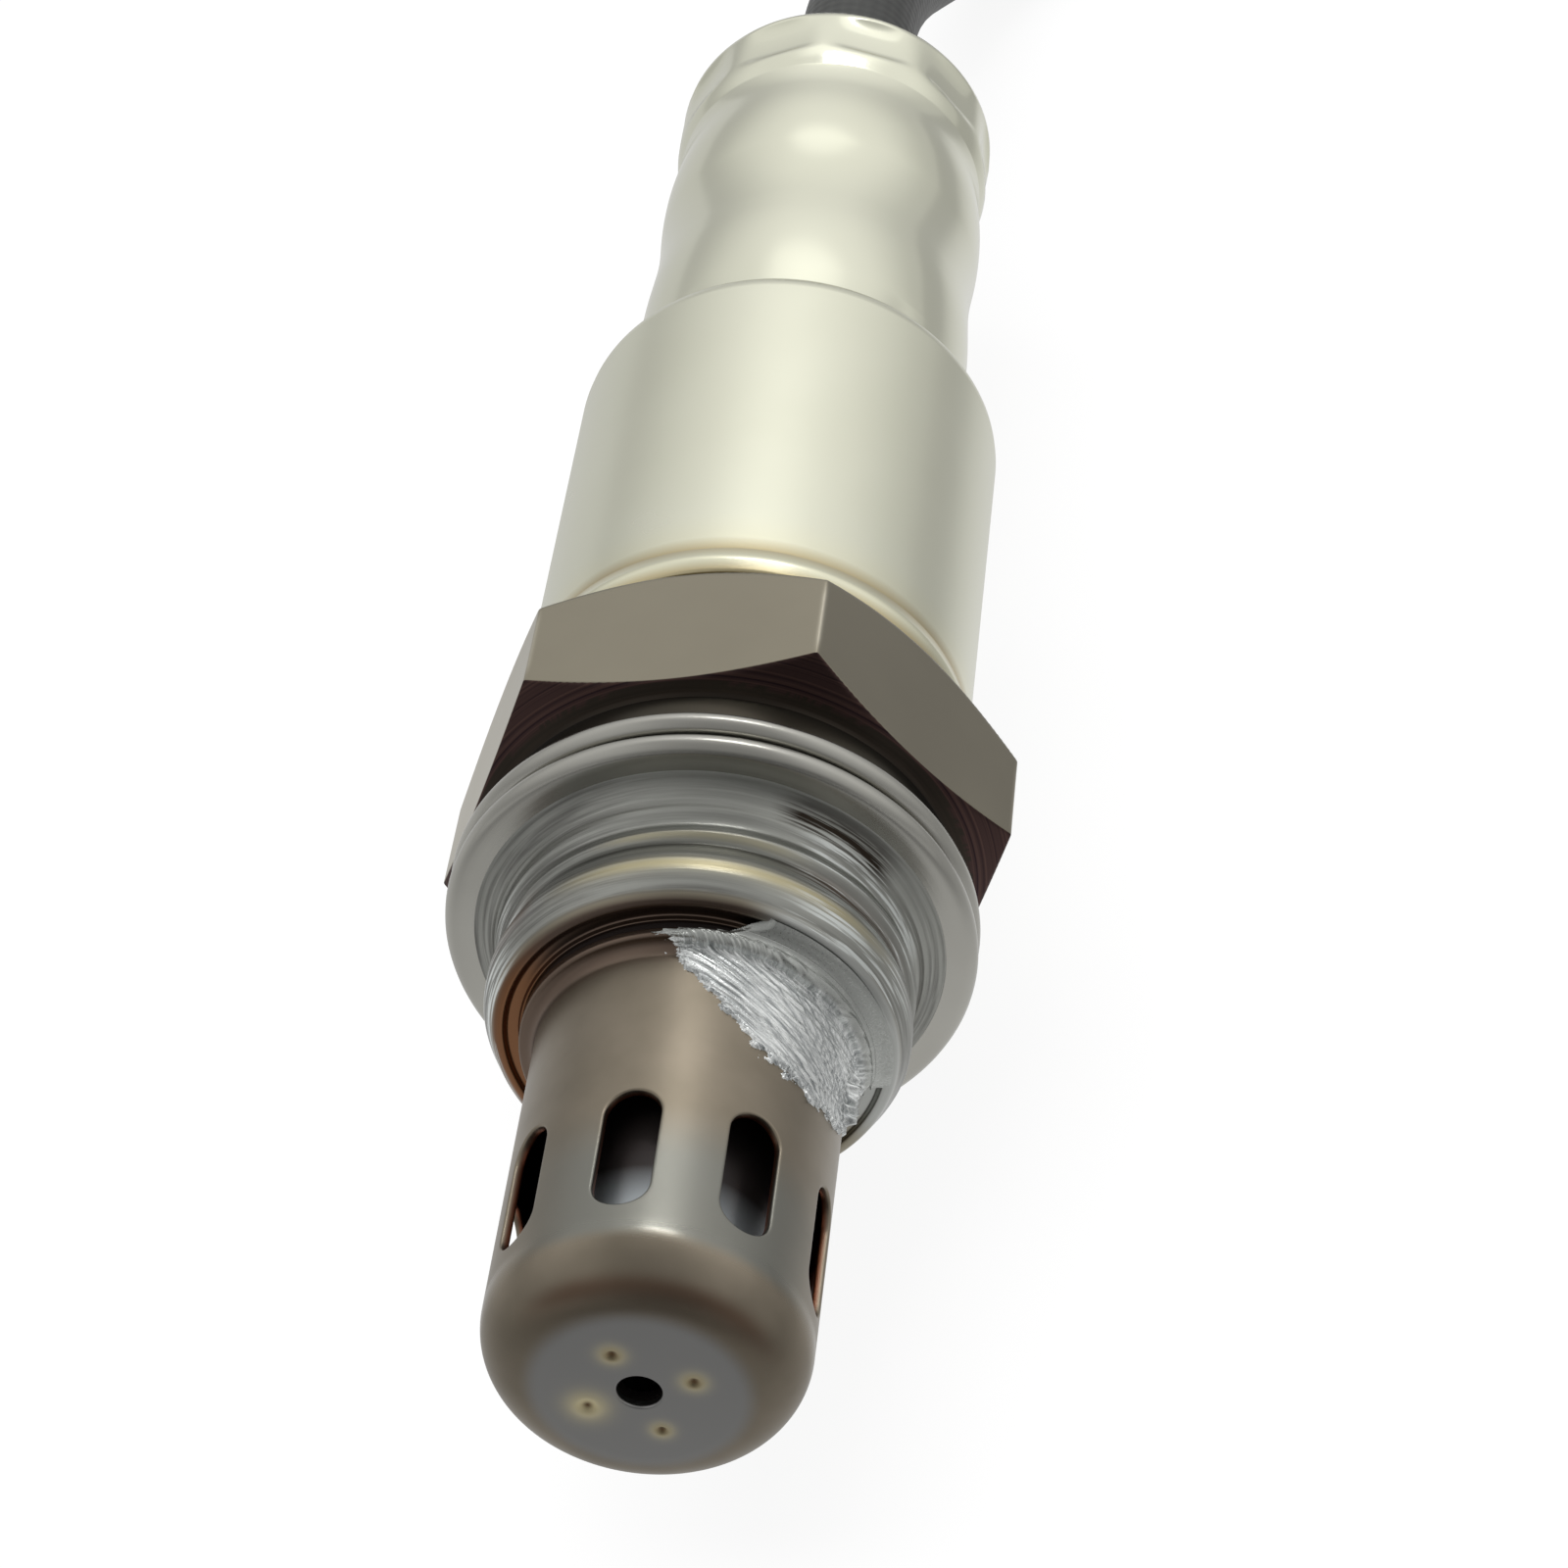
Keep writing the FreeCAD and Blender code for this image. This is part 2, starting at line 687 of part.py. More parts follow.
def plug_insert(front, back, clearance):
    """Block that fills the housing's inside with the given clearance all round."""
    width = PLUG_CORE_WIDTH - 2 * PLUG_WALL - 2 * clearance
    height = PLUG_CORE_HEIGHT - 2 * PLUG_WALL - 2 * clearance
    return rounded_bar(width, height, 1.0, front, back, PLUG_X, PLUG_AXIS_Z)


def connector_housing():
    end = PLUG_BACK + PLUG_LENGTH
    top = PLUG_BOTTOM + PLUG_CORE_HEIGHT
    core = rounded_bar(PLUG_CORE_WIDTH, PLUG_CORE_HEIGHT, 2.0, PLUG_BACK, end, PLUG_X, PLUG_AXIS_Z)
    stop_front = PLUG_BACK + STOP_FRONT
    stop_back = stop_front + STOP_LENGTH
    stop = rounded_bar(
        PLUG_WIDTH, PLUG_CORE_HEIGHT, 2.0, stop_front, stop_back, PLUG_X, PLUG_AXIS_Z
    )
    rails = block(
        PLUG_WIDTH, stop_back, end - STOP_LENGTH, RAIL_THICK, PLUG_X, PLUG_BOTTOM + RAIL_LIFT
    )
    latch_back = end - LATCH_SETBACK
    latch_front = latch_back - LATCH_LENGTH
    latch = Part.Face(
        outline(
            [
                (latch_front, top - PLUG_WALL / 2),
                (latch_front, top + PLUG_LATCH),
                (latch_front + LATCH_TOP, top + PLUG_LATCH),
                (latch_back, top - PLUG_WALL / 2),
            ],
            lambda y, z: V(PLUG_X - LATCH_WIDTH / 2, y, z),
        )
    ).extrude(V(LATCH_WIDTH, 0, 0))
    body = core.fuse([stop, rails, latch])
    mating = plug_insert(end - MATING_DEPTH, end + 1, 0)
    pocket = plug_insert(PLUG_BACK - 1, PLUG_BACK + POCKET_DEPTH, 0)
    body = body.cut([mating, pocket])
    for x, z in pin_places().values():
        body = body.cut(block(PIN_WIDTH, PLUG_BACK, end, PIN_THICK, x, z))
    return body


def connector_pin(x, z):
    """Blade with a pointed tip and a crimp barrel on the wire's core."""
    wall_back = PLUG_BACK + PLUG_LENGTH - MATING_DEPTH
    tip = wall_back + PIN_REACH
    blade = block(PIN_WIDTH, PLUG_BACK + POCKET_DEPTH, tip, PIN_THICK, x, z)
    tip_edges = [edge for edge in blade.Edges if edge.BoundBox.YMin > tip - 0.01]
    blade = blade.makeChamfer(0.3, tip_edges)
    barrel = rod(BARREL_OUT_R, PLUG_BACK + SEAL_BACK, PLUG_BACK + POCKET_DEPTH, x, z)
    core = rod(CORE_R, PLUG_BACK + SEAL_BACK, PLUG_BACK + POCKET_DEPTH - 1.5, x, z)
    return blade.fuse(barrel.cut(core))


def bent_wire(radius, points):
    """Round wire along straight runs with a ball at each corner."""
    wire = None
    for start, end in zip(points, points[1:]):
        run = Part.makeCylinder(radius, (end - start).Length, start, end - start)
        wire = run if wire is None else wire.fuse([Part.makeSphere(radius, start), run])
    return wire


def plug_wire(place):
    """Wire that fans out from the sleeve's end to its own hole in the seal cover."""
    near_x, near_z = wire_places()[place]
    x, z = pin_places()[place]
    start = V(PLUG_X + near_x * 0.9, TAIL_BACK, PLUG_AXIS_Z + near_z * 0.9)
    end = V(x, PLUG_BACK + SEAL_BACK, z)
    wire = bent_wire(WIRE_R, [start, start + V(0, 2, 0), end - V(0, SEAL_BACK + 2, 0), end])
    return wire.fuse(rod(CORE_R, PLUG_BACK + SEAL_BACK - 1, PLUG_BACK + POCKET_DEPTH - 1.5, x, z))


def seal_cover():
    cover = plug_insert(PLUG_BACK, PLUG_BACK + COVER_THICK, SLIP)
    for x, z in pin_places().values():
        cover = cover.cut(rod(WIRE_R + SLIP, PLUG_BACK - 1, PLUG_BACK + COVER_THICK + 1, x, z))
    return cover


def wire_seal():
    front = PLUG_BACK + COVER_THICK
    seal = plug_insert(front, PLUG_BACK + SEAL_BACK, 0)
    for x, z in pin_places().values():
        seal = seal.cut(rod(WIRE_R, front - 1, PLUG_BACK + SEAL_BACK + 1, x, z))
    return seal


def pin_lock():
    front = PLUG_BACK + PLUG_LENGTH - MATING_DEPTH
    lock = plug_insert(front, front + LOCK_THICK, SLIP)
    for x, z in pin_places().values():
        lock = lock.cut(block(PIN_WIDTH, front - 1, front + LOCK_THICK + 1, PIN_THICK, x, z))
    return lock


def build():
    save("shell", shell())
    save("gasket", gasket())
    save("outer_protector", outer_protector())
    save("inner_protector", inner_protector())
    save("sensing_element", sensing_element())
    save("metal_cup", metal_cup())
    save("ceramic_holder", ceramic_holder())
    save("front_talc", front_talc())
    save("rear_talc", rear_talc())
    save("ceramic_sleeve", ceramic_sleeve())
    save("packing_ring", packing_ring())
    save("outer_tube", outer_tube())
    save("separator", separator())
    save("holding_ring", holding_ring())
    for place, (x, z) in wire_places().items():
        save("contact_" + place, contact(x, z))
        save("lead_wire_" + place, lead_wire(x, z))
    save("grommet", grommet())
    save("lead_sleeve", lead_sleeve())
    save("lead_hank", lead_hank())
    save("lead_tail", lead_tail())
    save("hank_tie", hank_tie())
    save("connector_housing", connector_housing())
    save("seal_cover", seal_cover())
    save("wire_seal", wire_seal())
    save("pin_lock", pin_lock())
    for place, (x, z) in pin_places().items():
        save("connector_pin_" + place, connector_pin(x, z))
        save("plug_wire_" + place, plug_wire(place))


build()
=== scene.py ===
import bmesh
import bpy
import math
import numpy as np
from mathutils import Matrix, Vector


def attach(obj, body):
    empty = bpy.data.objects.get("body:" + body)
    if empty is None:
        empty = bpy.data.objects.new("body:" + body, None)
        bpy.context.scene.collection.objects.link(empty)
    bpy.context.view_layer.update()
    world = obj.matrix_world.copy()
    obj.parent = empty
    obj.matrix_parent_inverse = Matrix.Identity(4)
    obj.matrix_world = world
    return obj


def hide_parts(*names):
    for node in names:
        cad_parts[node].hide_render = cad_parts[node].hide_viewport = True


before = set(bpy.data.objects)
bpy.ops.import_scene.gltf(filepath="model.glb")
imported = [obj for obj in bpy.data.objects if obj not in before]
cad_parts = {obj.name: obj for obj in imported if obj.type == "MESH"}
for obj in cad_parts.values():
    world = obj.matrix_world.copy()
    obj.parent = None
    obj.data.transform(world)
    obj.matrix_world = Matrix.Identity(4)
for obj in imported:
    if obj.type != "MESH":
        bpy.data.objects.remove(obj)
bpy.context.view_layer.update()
MM = 0.001


# Ceramic pack: the zirconia element stands in an alumina holder inside a pressed steel cup, is
# sealed by two rings of pressed talc and held down by an alumina sleeve. All of it is pressed in
# as dry powder or fired parts, and none of it shows outside.
def srgb(code):
    """Linear colour from an sRGB hex code, by the standard's curve."""
    channels = [int(code[i : i + 2], 16) / 255 for i in (0, 2, 4)]
    return [c / 12.92 if c <= 0.04045 else ((c + 0.055) / 1.055) ** 2.4 for c in channels] + [1.0]


def feed(node, inputs):
    """Give a node its inputs by name, or as a list in the node's own order, which on MapRange is
    the value, its range and the new range. A value is a number or colour, a socket of the same
    tree, or the name of a mark that the mesh holds."""
    for name, value in inputs.items() if isinstance(inputs, dict) else enumerate(inputs):
        if isinstance(value, str):
            value = add(node.id_data, "Attribute", {}, "Fac", attribute_name=value)
        if isinstance(value, bpy.types.NodeSocket):
            node.id_data.links.new(value, node.inputs[name])
        else:
            node.inputs[name].default_value = value


def add(tree, kind, inputs, output=0, **settings):
    """Add one shader node with its settings and inputs; the output with that name or place
    comes back."""
    made = tree.nodes.new("ShaderNode" + kind)
    for name, value in settings.items():
        setattr(made, name, value)
    feed(made, inputs)
    return made.outputs[output]


def blank(name):
    """New material, with its tree, its shader and the object's own coordinates."""
    made = bpy.data.materials.new(name)
    made.use_nodes = True
    shader = made.node_tree.nodes["Principled BSDF"]
    return made, made.node_tree, shader, add(made.node_tree, "TexCoord", {}, "Object")


def painted(tree, base, *layers):
    """Colour in layers over a base: each layer (mask, colour, strength) covers what lies below
    by the mask, which may be a mark's name, times the strength. A colour is a hex code or a
    socket."""
    tint = srgb(base)
    for mask, colour, strength in layers:
        if isinstance(colour, str):
            colour = srgb(colour)
        share = add(tree, "Math", [mask, strength], operation="MULTIPLY", use_clamp=True)
        tint = add(tree, "Mix", {"Factor": share, "A": tint, "B": colour}, "Result", data_type="RGBA")
    return tint


def finish(name, dark, pale, grain, rough, relief, metallic=0.0):
    """A finish that clouds between two colours. Grain is the size of the clouds and relief the
    depth of the bumps between them, both in millimetres."""
    made, tree, shader, place = blank(name)
    pattern = {"Scale": 1 / (grain * MM), "Detail": 4.0, "Roughness": 0.6}
    clouds = add(tree, "TexNoise", {"Vector": place, **pattern})
    shine = add(tree, "MapRange", [clouds, 0.0, 1.0, rough - 0.05, rough + 0.05])
    bump = add(tree, "Bump", {"Height": clouds, "Strength": 0.5, "Distance": relief * MM})
    tint = painted(tree, dark, (clouds, pale, 1.0))
    feed(shader, {"Base Color": tint, "Roughness": shine, "Normal": bump, "Metallic": metallic})
    return made


def dress(material, *names):
    """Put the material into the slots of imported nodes, whose shape stays as it is."""
    for name in names:
        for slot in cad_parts[name].material_slots:
            slot.material = material


# Fired alumina is white and matt with a fine bisque grain; talc is greyer and softer.
alumina = finish("fired_alumina", "ded9cc", "efece3", 0.15, 0.55, 0.01)
zirconia = finish("zirconia_element", "c9c5b8", "dedacf", 0.2, 0.4, 0.005)
talc = finish("pressed_talc", "b9bab0", "cfcfc5", 0.12, 0.8, 0.02)
dress(alumina, "ceramic_holder", "ceramic_sleeve")
dress(zirconia, "sensing_element")
dress(talc, "front_talc", "rear_talc")

# The deep-drawn cup and the packing ring are bright steel.
pressed_steel = finish("pressed_bright_steel", "a8a69f", "bdbbb4", 1.5, 0.3, 0.003, metallic=1.0)
dress(pressed_steel, "metal_cup", "packing_ring")


# Shell: one turned and rolled steel body with the nose face, the M18 thread, the collar, the
# hexagon and the barrel that the outer tube is welded to. Bright once, now tinted by heat.
THREAD_R = 9.0
THREAD_ROOT_R = 8.1
THREAD_DEPTH = 0.26
THREAD_FRONT = -8.1
THREAD_BACK = -3.15
THREAD_SHIFT = 0.25
THREAD_STEPS = 96
PITCH = 1.5
PASTE_R = 10.15
GROOVE_R = 8.9
COLLAR_R = 10.3
HEX_HALF = 11.0
HEX_TURN = 22.9
HEX_CORNER_R = HEX_HALF / math.cos(math.pi / 6)
HEX_FRONT = 1.3
HEX_BACK = 9.2
HEX_COLUMNS = 48
FRONT_SLOPE = 0.5
BACK_SLOPE = 0.78
# Rows of the hexagon by their place along it: close together on the chamfers' curved edges.
HEX_ROWS = ((0, HEX_FRONT), (3, 1.6), (38, 2.6), (43, 7.2), (62, 8.8), (64, HEX_BACK))
# Radius of the crests along the thread, with the paste that fills the last turn (y, radius).
PASTED_CREST = (
    ((THREAD_FRONT, 8.93), (-7.95, 8.985), (-7.7, 9.0), (-7.3, 9.0), (-7.0, 8.95), (-6.7, 8.86))
    + ((-6.4, 8.72), (-6.1, 8.66), (-5.85, 8.75), (-5.6, 8.93), (-5.4, THREAD_R), (-4.7, THREAD_R))
    + ((-4.4, 9.02), (-4.1, 9.08), (-3.8, 9.2), (-3.55, 9.4), (-3.38, 9.62), (-3.27, 9.85))
    + ((-3.2, 10.1), (THREAD_BACK, PASTE_R))
)


def ramp(value, start, end):
    """Smooth step: zero before start, one after end, and 3t^2 - 2t^3 of the way t between."""
    t = np.clip((value - start) / (end - start), 0, 1)
    return t * t * (3 - 2 * t)


def bell(value, middle, width):
    """Bell curve: the falling exponential of the squared distance over the width."""
    return np.exp(-(((value - middle) / width) ** 2))


def sector(angle, middle, outer, inner):
    """One within the inner angle of the middle, falling smoothly to zero at the outer."""
    return ramp(np.abs(angle - middle), outer, inner)


def rounded(corners, step=0.5, arc=7):
    """Profile through the corners (radius, y, fillet): every fillet is a circular arc that is
    tangent to both sides, and every straight stretch is cut evenly with a point near each end."""
    points = np.array([corner[:2] for corner in corners], float)
    chain = [points[:1]]
    for i in range(1, len(corners) - 1):
        fillet = corners[i][2] if len(corners[i]) > 2 else 0
        if not fillet:
            chain.append(points[i : i + 1])
            continue
        back = points[i - 1] - points[i]
        ahead = points[i + 1] - points[i]
        back /= np.linalg.norm(back)
        ahead /= np.linalg.norm(ahead)
        half = np.arccos(np.clip(back @ ahead, -1, 1)) / 2
        middle = (back + ahead) / np.linalg.norm(back + ahead)
        centre = points[i] + middle * fillet / np.sin(half)
        spoke = points[i] + back * fillet / np.tan(half) - centre
        side = np.sign(ahead[0] * back[1] - ahead[1] * back[0])
        turn = side * np.linspace(0, np.pi - 2 * half, arc)
        quarter = np.array([-spoke[1], spoke[0]])
        chain.append(centre + np.outer(np.cos(turn), spoke) + np.outer(np.sin(turn), quarter))
    chain.append(points[-1:])
    whole = []
    for here, following in zip(chain, chain[1:]):
        start, end = here[-1], following[0]
        length = np.linalg.norm(end - start)
        near = min(0.04, length / 4) / max(length, 1e-9)
        inner = np.linspace(near, 1 - near, max(2, int(length / step) + 1))[:, None]
        whole += [here, start + (end - start) * inner]
    return np.concatenate(whole + [chain[-1]])


def polar(r, y, angles):
    """Points at radius r, place y and angle a from up toward +X: (r sin a, y, r cos a)."""
    a = np.radians(angles)
    return np.stack(np.broadcast_arrays(r * np.sin(a), y, r * np.cos(a)), axis=2)


def lathe(profile, angles):
    """Surface of revolution: rows follow the profile (radius, y) and columns the angle."""
    return polar(profile[:, :1], profile[:, 1:], angles)


def stand(name, data):
    """Put a new object with this mesh, curve, lamp or camera into the scene."""
    made = bpy.data.objects.new(name, data)
    bpy.context.scene.collection.objects.link(made)
    return made


def meshed(name, points, quads):
    """Mesh in metres from points in millimetres and quads of their numbers."""
    mesh = bpy.data.meshes.new(name)
    mesh.from_pydata((points * MM).tolist(), [], quads.tolist())
    return mesh


def skin(name, grids, along=None):
    """One closed mesh in metres from point grids in millimetres. Each grid's neighbours make
    quads, its last column joins its first, and points that coincide are merged. With the rows'
    distances along a single grid it's also unrolled: u is the turn from 0 to 1, v the distance."""
    points, quads, used = [], [], 0
    for grid in grids:
        rows, columns = grid.shape[:2]
        index = used + np.arange(rows * columns).reshape(rows, columns)
        ahead = np.roll(index, -1, axis=1)
        quads.append(np.stack([index[:-1], ahead[:-1], ahead[1:], index[1:]], axis=2).reshape(-1, 4))
        points.append(grid.reshape(-1, 3))
        used += rows * columns
    mesh = meshed(name, np.concatenate(points), np.concatenate(quads))
    if along is not None:
        around = (np.arange(columns)[:, None] + [0, 1, 1, 0]) / columns
        ahead = np.stack([along[:-1], along[:-1], along[1:], along[1:]], axis=1)[:, None]
        unrolled = np.stack(np.broadcast_arrays(around[None], ahead), axis=-1)
        mesh.uv_layers.new(name="UVMap").data.foreach_set("uv", unrolled.ravel())
    shape = bmesh.new()
    shape.from_mesh(mesh)
    bmesh.ops.remove_doubles(shape, verts=shape.verts, dist=1e-6)
    bmesh.ops.recalc_face_normals(shape, faces=shape.faces)
    shape.to_mesh(mesh)
    shape.free()
    mesh.shade_smooth()
    piece = stand(name, mesh)
    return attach(piece, "root")


def mark(piece, rules):
    """Store rules(radius, y, angle) of every point, in millimetres and degrees from up toward
    +X: each of its named values becomes an attribute that a material reads."""
    mesh = piece.data
    place = np.empty(3 * len(mesh.vertices))
    mesh.vertices.foreach_get("co", place)
    x, y, z = place.reshape(-1, 3).T / MM
    for name, values in rules(np.hypot(x, z), y, np.degrees(np.arctan2(x, z))).items():
        layer = mesh.attributes.new(name, "FLOAT", "POINT")
        layer.data.foreach_set("value", np.asarray(values, np.float32))


def soft_least(values, blend):
    """Smooth minimum: minus the blend width times the log of the summed falling exponentials."""
    stack = np.stack(np.broadcast_arrays(*values))
    least = stack.min(axis=0)
    return least - blend * np.log(np.exp((least - stack) / blend).sum(axis=0))


def shell_angles():
    """Angles that crowd at the six corners: an even count less a sine wave of the same period."""
    even = np.arange(6 * HEX_COLUMNS) / HEX_COLUMNS
    return HEX_TURN + 60 * (even - 0.85 * np.sin(2 * np.pi * even) / (2 * np.pi))


def thread_surface(angles):
    """Right-hand thread, its valleys half filled with old paste: the radius follows a rounded
    wave of the distance along the axis less one pitch for each turn. The front turns fade into
    the lead-in, and behind the last turn the paste makes a fillet up to the gasket."""
    y = np.linspace(THREAD_FRONT, THREAD_BACK, THREAD_STEPS)[:, None]
    wave = 0.5 + 0.5 * np.cos(2 * np.pi * ((y - THREAD_SHIFT) / PITCH - angles / 360))
    depth = THREAD_DEPTH * ramp(y, -6.2, -5.7) * ramp(y, -4.0, -4.6)
    return polar(np.interp(y, *zip(*PASTED_CREST)) - depth * (1 - wave), y, angles)


def hexagon_surface(angles):
    """Hexagon with turned chamfers: the radius is the least of the flat's distance over the
    cosine of the angle from its middle and of the two chamfer cones."""
    y = np.interp(np.arange(HEX_ROWS[-1][0] + 1), *zip(*HEX_ROWS))[:, None]
    from_flat = np.radians((angles - HEX_TURN) % 60 - 30)
    flat = HEX_HALF / np.cos(from_flat)
    neighbour = HEX_HALF / np.cos(np.radians(60) - np.abs(from_flat))
    front = COLLAR_R + (y - HEX_FRONT) / FRONT_SLOPE
    back = COLLAR_R + (HEX_BACK - y) / BACK_SLOPE
    return polar(soft_least([flat, neighbour, front, back], 0.035), y, angles)


nose = rounded(
    [(4.7, -9.2), (7.3, -9.2, 0.05), (7.36, -8.95, 0.1), (7.85, -8.95, 0.2), (8.05, -9.25, 0.2)]
    + [(8.45, -9.1, 0.35), (8.93, THREAD_FRONT)],
    step=0.2,
)
neck = rounded(
    [(PASTE_R, THREAD_BACK), (GROOVE_R, THREAD_BACK + 0.01), (GROOVE_R, -2.9, 0.2)]
    + [(THREAD_ROOT_R, -2.3, 0.3), (THREAD_ROOT_R, 0, 0.2), (COLLAR_R, 0, 0.15), (COLLAR_R, HEX_FRONT)]
)
rear = rounded(
    [(COLLAR_R, HEX_BACK), (9.65, HEX_BACK, 0.15), (9.65, 16, 0.4), (7.7, 16, 0.3), (7.7, 18.6, 1.0)]
    + [(5.3, 18.6), (5.3, 17.5), (6.4, 17.5, 0.3), (6.4, -4.5, 0.2), (4.7, -4.5), (4.7, -9.2)],
    step=2.0,
    arc=5,
)
angles = shell_angles()
shell_rows = [lathe(nose, angles), thread_surface(angles), lathe(neck, angles)]
shell_rows += [hexagon_surface(angles), lathe(rear, angles)]
shell = skin("shell_body", [np.concatenate(shell_rows)])
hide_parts("shell")


def shell_marks(r, y, a):
    """Where heat, paste and wear show, and where shade and light are painted: the collar darkened as
    painted shade, the nose's recessed face darkened as painted shade, with its rust and film, the
    thread's turns with painted shade in one groove, and the hexagon's worn edges and its left flat,
    made pale as a painted reflection."""
    on_face = ramp(y, -8.5, -8.8)
    past_front = y - HEX_FRONT - FRONT_SLOPE * (r - COLLAR_R)
    before_back = HEX_BACK - y - BACK_SLOPE * (r - COLLAR_R)
    from_corner = (a - HEX_TURN + 30) % 60 - 30
    return {
        # The collar is painted nearly black: painted shade in the recess between gasket and hexagon.
        "collar": ramp(y, -0.5, -0.3) * (y < 1.8) * (r < COLLAR_R + 0.6),
        # The nose's recessed face is darkened: painted shade.
        "face": on_face * ramp(r, 8.6, 8.3) * sector(a, -50, 84, 66),
        "rust": on_face * ramp(r, 8.6, 8.2) * sector(a, -85, 48, 20),
        "film": ramp(y, -8.7, -8.95) * sector(a, 75, 58, 42),
        "thread": ramp(y, -8.95, -8.7) * ramp(y, -1, -2.5),
        "gold": bell(y, -7.6, 0.36) * sector(a, 15, 60, 25)
        + 0.6 * bell(y, -5.7, 0.14) * sector(a, 5, 35, 15),
        "greased": (y < -3.2) * (y > -8.7) * sector(a, 32, 70, 30),
        # Painted shade: a dark line along one thread groove on the top.
        "painted_groove_shade": bell(y, -6.12, 0.24) * sector(a, 3, 50, 28),
        "stain": 1.2 * bell(y, -3.75, 0.5) * sector(a, 42, 22, 10),
        "edge": (r > HEX_HALF)
        * bell(from_corner, 0, 0.5)
        * ramp(past_front, 0.1, 0.4)
        * ramp(before_back, 0.1, 0.4),
        "streaked": ramp(r, 8.2, 8.5)
        * (
            ramp(y, -3.5, -5.5) * sector(a, -88, 40, 15)
            + 0.9 * ramp(y, -3.6, -4.4) * sector(a, 58, 32, 14)
        ),
        "brown": bell(y, -6.35, 0.42) * sector(a, 58, 34, 12)
        + bell(y, -7.0, 0.75) * sector(a, -58, 16, 6),
        # Painted reflection: the hexagon's left flat made pale.
        "pale": (y > 1.4) * (y < 9.1) * sector(a, -67.1, 30.6, 29.4),
    }


def axis_distance(tree, parts):
    """Distance from the sensor's axis: the root of the sum of x squared and z squared."""
    across = add(tree, "Math", [parts["X"], parts["X"]], operation="MULTIPLY")
    squared = add(tree, "Math", [parts["Z"], parts["Z"], across], operation="MULTIPLY_ADD")
    return add(tree, "Math", [squared, 0.5], operation="POWER")


def turned_steel():
    """Turned free-cutting steel, plated and then tinted by heat: satin beige grey on the flats, dark
    purple brown with turning rings on the front chamfer, rusty inside the nose, and on the thread a
    grey film of old paste over straw-coloured metal, wiped along the turns. Painted shade darkens the
    collar, the nose's recessed face and one thread groove, and a painted reflection makes the
    hexagon's left flat pale. The clouds are 7 mm wide, the wiped streaks 0.2 mm and the turning rings
    0.14 mm."""
    made, tree, shader, place = blank("turned_plated_steel")
    parts = add(tree, "SeparateXYZ", [place]).node.outputs
    radius = axis_distance(tree, parts)
    clouds = add(tree, "TexNoise", {"Vector": place, "Scale": 150.0, "Detail": 3.0})
    turn = add(tree, "Math", [parts["X"], parts["Z"]], operation="ARCTAN2")
    round_way = add(tree, "Math", [turn, 0.3 * MM], operation="MULTIPLY")
    wiped = add(tree, "CombineXYZ", {"X": round_way, "Y": parts["Y"], "Z": radius})
    wiping = {"Scale": 5000.0, "Detail": 4.0, "Roughness": 0.6}
    streaks = add(tree, "TexNoise", {"Vector": wiped, **wiping})
    from_axis = add(tree, "CombineXYZ", {"X": radius})
    rings = add(tree, "TexNoise", {"Vector": from_axis, "Scale": 7000.0, "Detail": 1.0})

    # The front chamfer is where the radius less twice y passes the cone's own.
    above = add(tree, "Math", [parts["Y"], -1 / FRONT_SLOPE, radius], operation="MULTIPLY_ADD")
    edge = (COLLAR_R - HEX_FRONT / FRONT_SLOPE) * MM
    cone = 1.0
    for value, start, end in (
        (above, edge - 0.09 * MM, edge - 0.04 * MM),
        (parts["Y"], 5.0 * MM, 4.5 * MM),
        (parts["Y"], 1.1 * MM, 1.3 * MM),
    ):
        step = add(tree, "MapRange", [value, start, end])
        cone = add(tree, "Math", [cone, step], operation="MULTIPLY")

    heat = add(tree, "MapRange", [rings, 0.35, 0.65])
    film = add(tree, "MapRange", [streaks, 0.37, 0.63])
    glints = add(tree, "MapRange", [streaks, 0.5, 0.58])
    dirt = add(tree, "MapRange", [streaks, 0.46, 0.56, 1.0, 0.25])
    tint = painted(
        tree,
        "847e6f",
        (clouds, "918b7b", 1.0),
        # Painted reflection: the hexagon's left flat made pale.
        ("pale", "bdb7a5", 0.75),
        (cone, painted(tree, "2b2023", (heat, "523f3a", 1.0)), 1.0),
        ("edge", "c4beae", 0.6),
        # Painted shade: the collar darkened nearly black between gasket and hexagon.
        ("collar", "322e28", 0.88),
        ("thread", painted(tree, "636360", (film, "93948f", 1.0)), 0.95),
        ("greased", "a3a49e", 0.6),
        # Painted shade along one thread groove.
        ("painted_groove_shade", "35352f", 0.85),
        ("stain", "2b241d", dirt),
        ("gold", "b5aa82", 0.75),
        ("brown", "5a3f2c", 0.85),
        ("film", "a9aba8", 0.9),
        # Painted shade: the nose's recessed face darkened.
        ("face", "64554c", 0.95),
        ("rust", "855a39", 0.75),
        ("streaked", "d6dad7", glints),
    )
    relief = clouds
    for mask, pattern in (("thread", streaks), (cone, rings)):
        mixed = {"Factor": mask, "A": relief, "B": pattern}
        relief = add(tree, "Mix", mixed, "Result", data_type="FLOAT")
    bump = add(tree, "Bump", {"Height": relief, "Strength": 0.45, "Distance": 0.02 * MM})
    rough = add(tree, "MapRange", [clouds, 0.0, 1.0, 0.26, 0.34])
    rough = add(tree, "Math", ["thread", 0.03, rough], operation="MULTIPLY_ADD")
    bare = add(tree, "MapRange", ["thread", 0.0, 1.0, 1.0, 0.9])
    feed(shader, {"Base Color": tint, "Normal": bump, "Roughness": rough, "Metallic": bare})
    return made


mark(shell, shell_marks)
shell.data.materials.append(turned_steel())


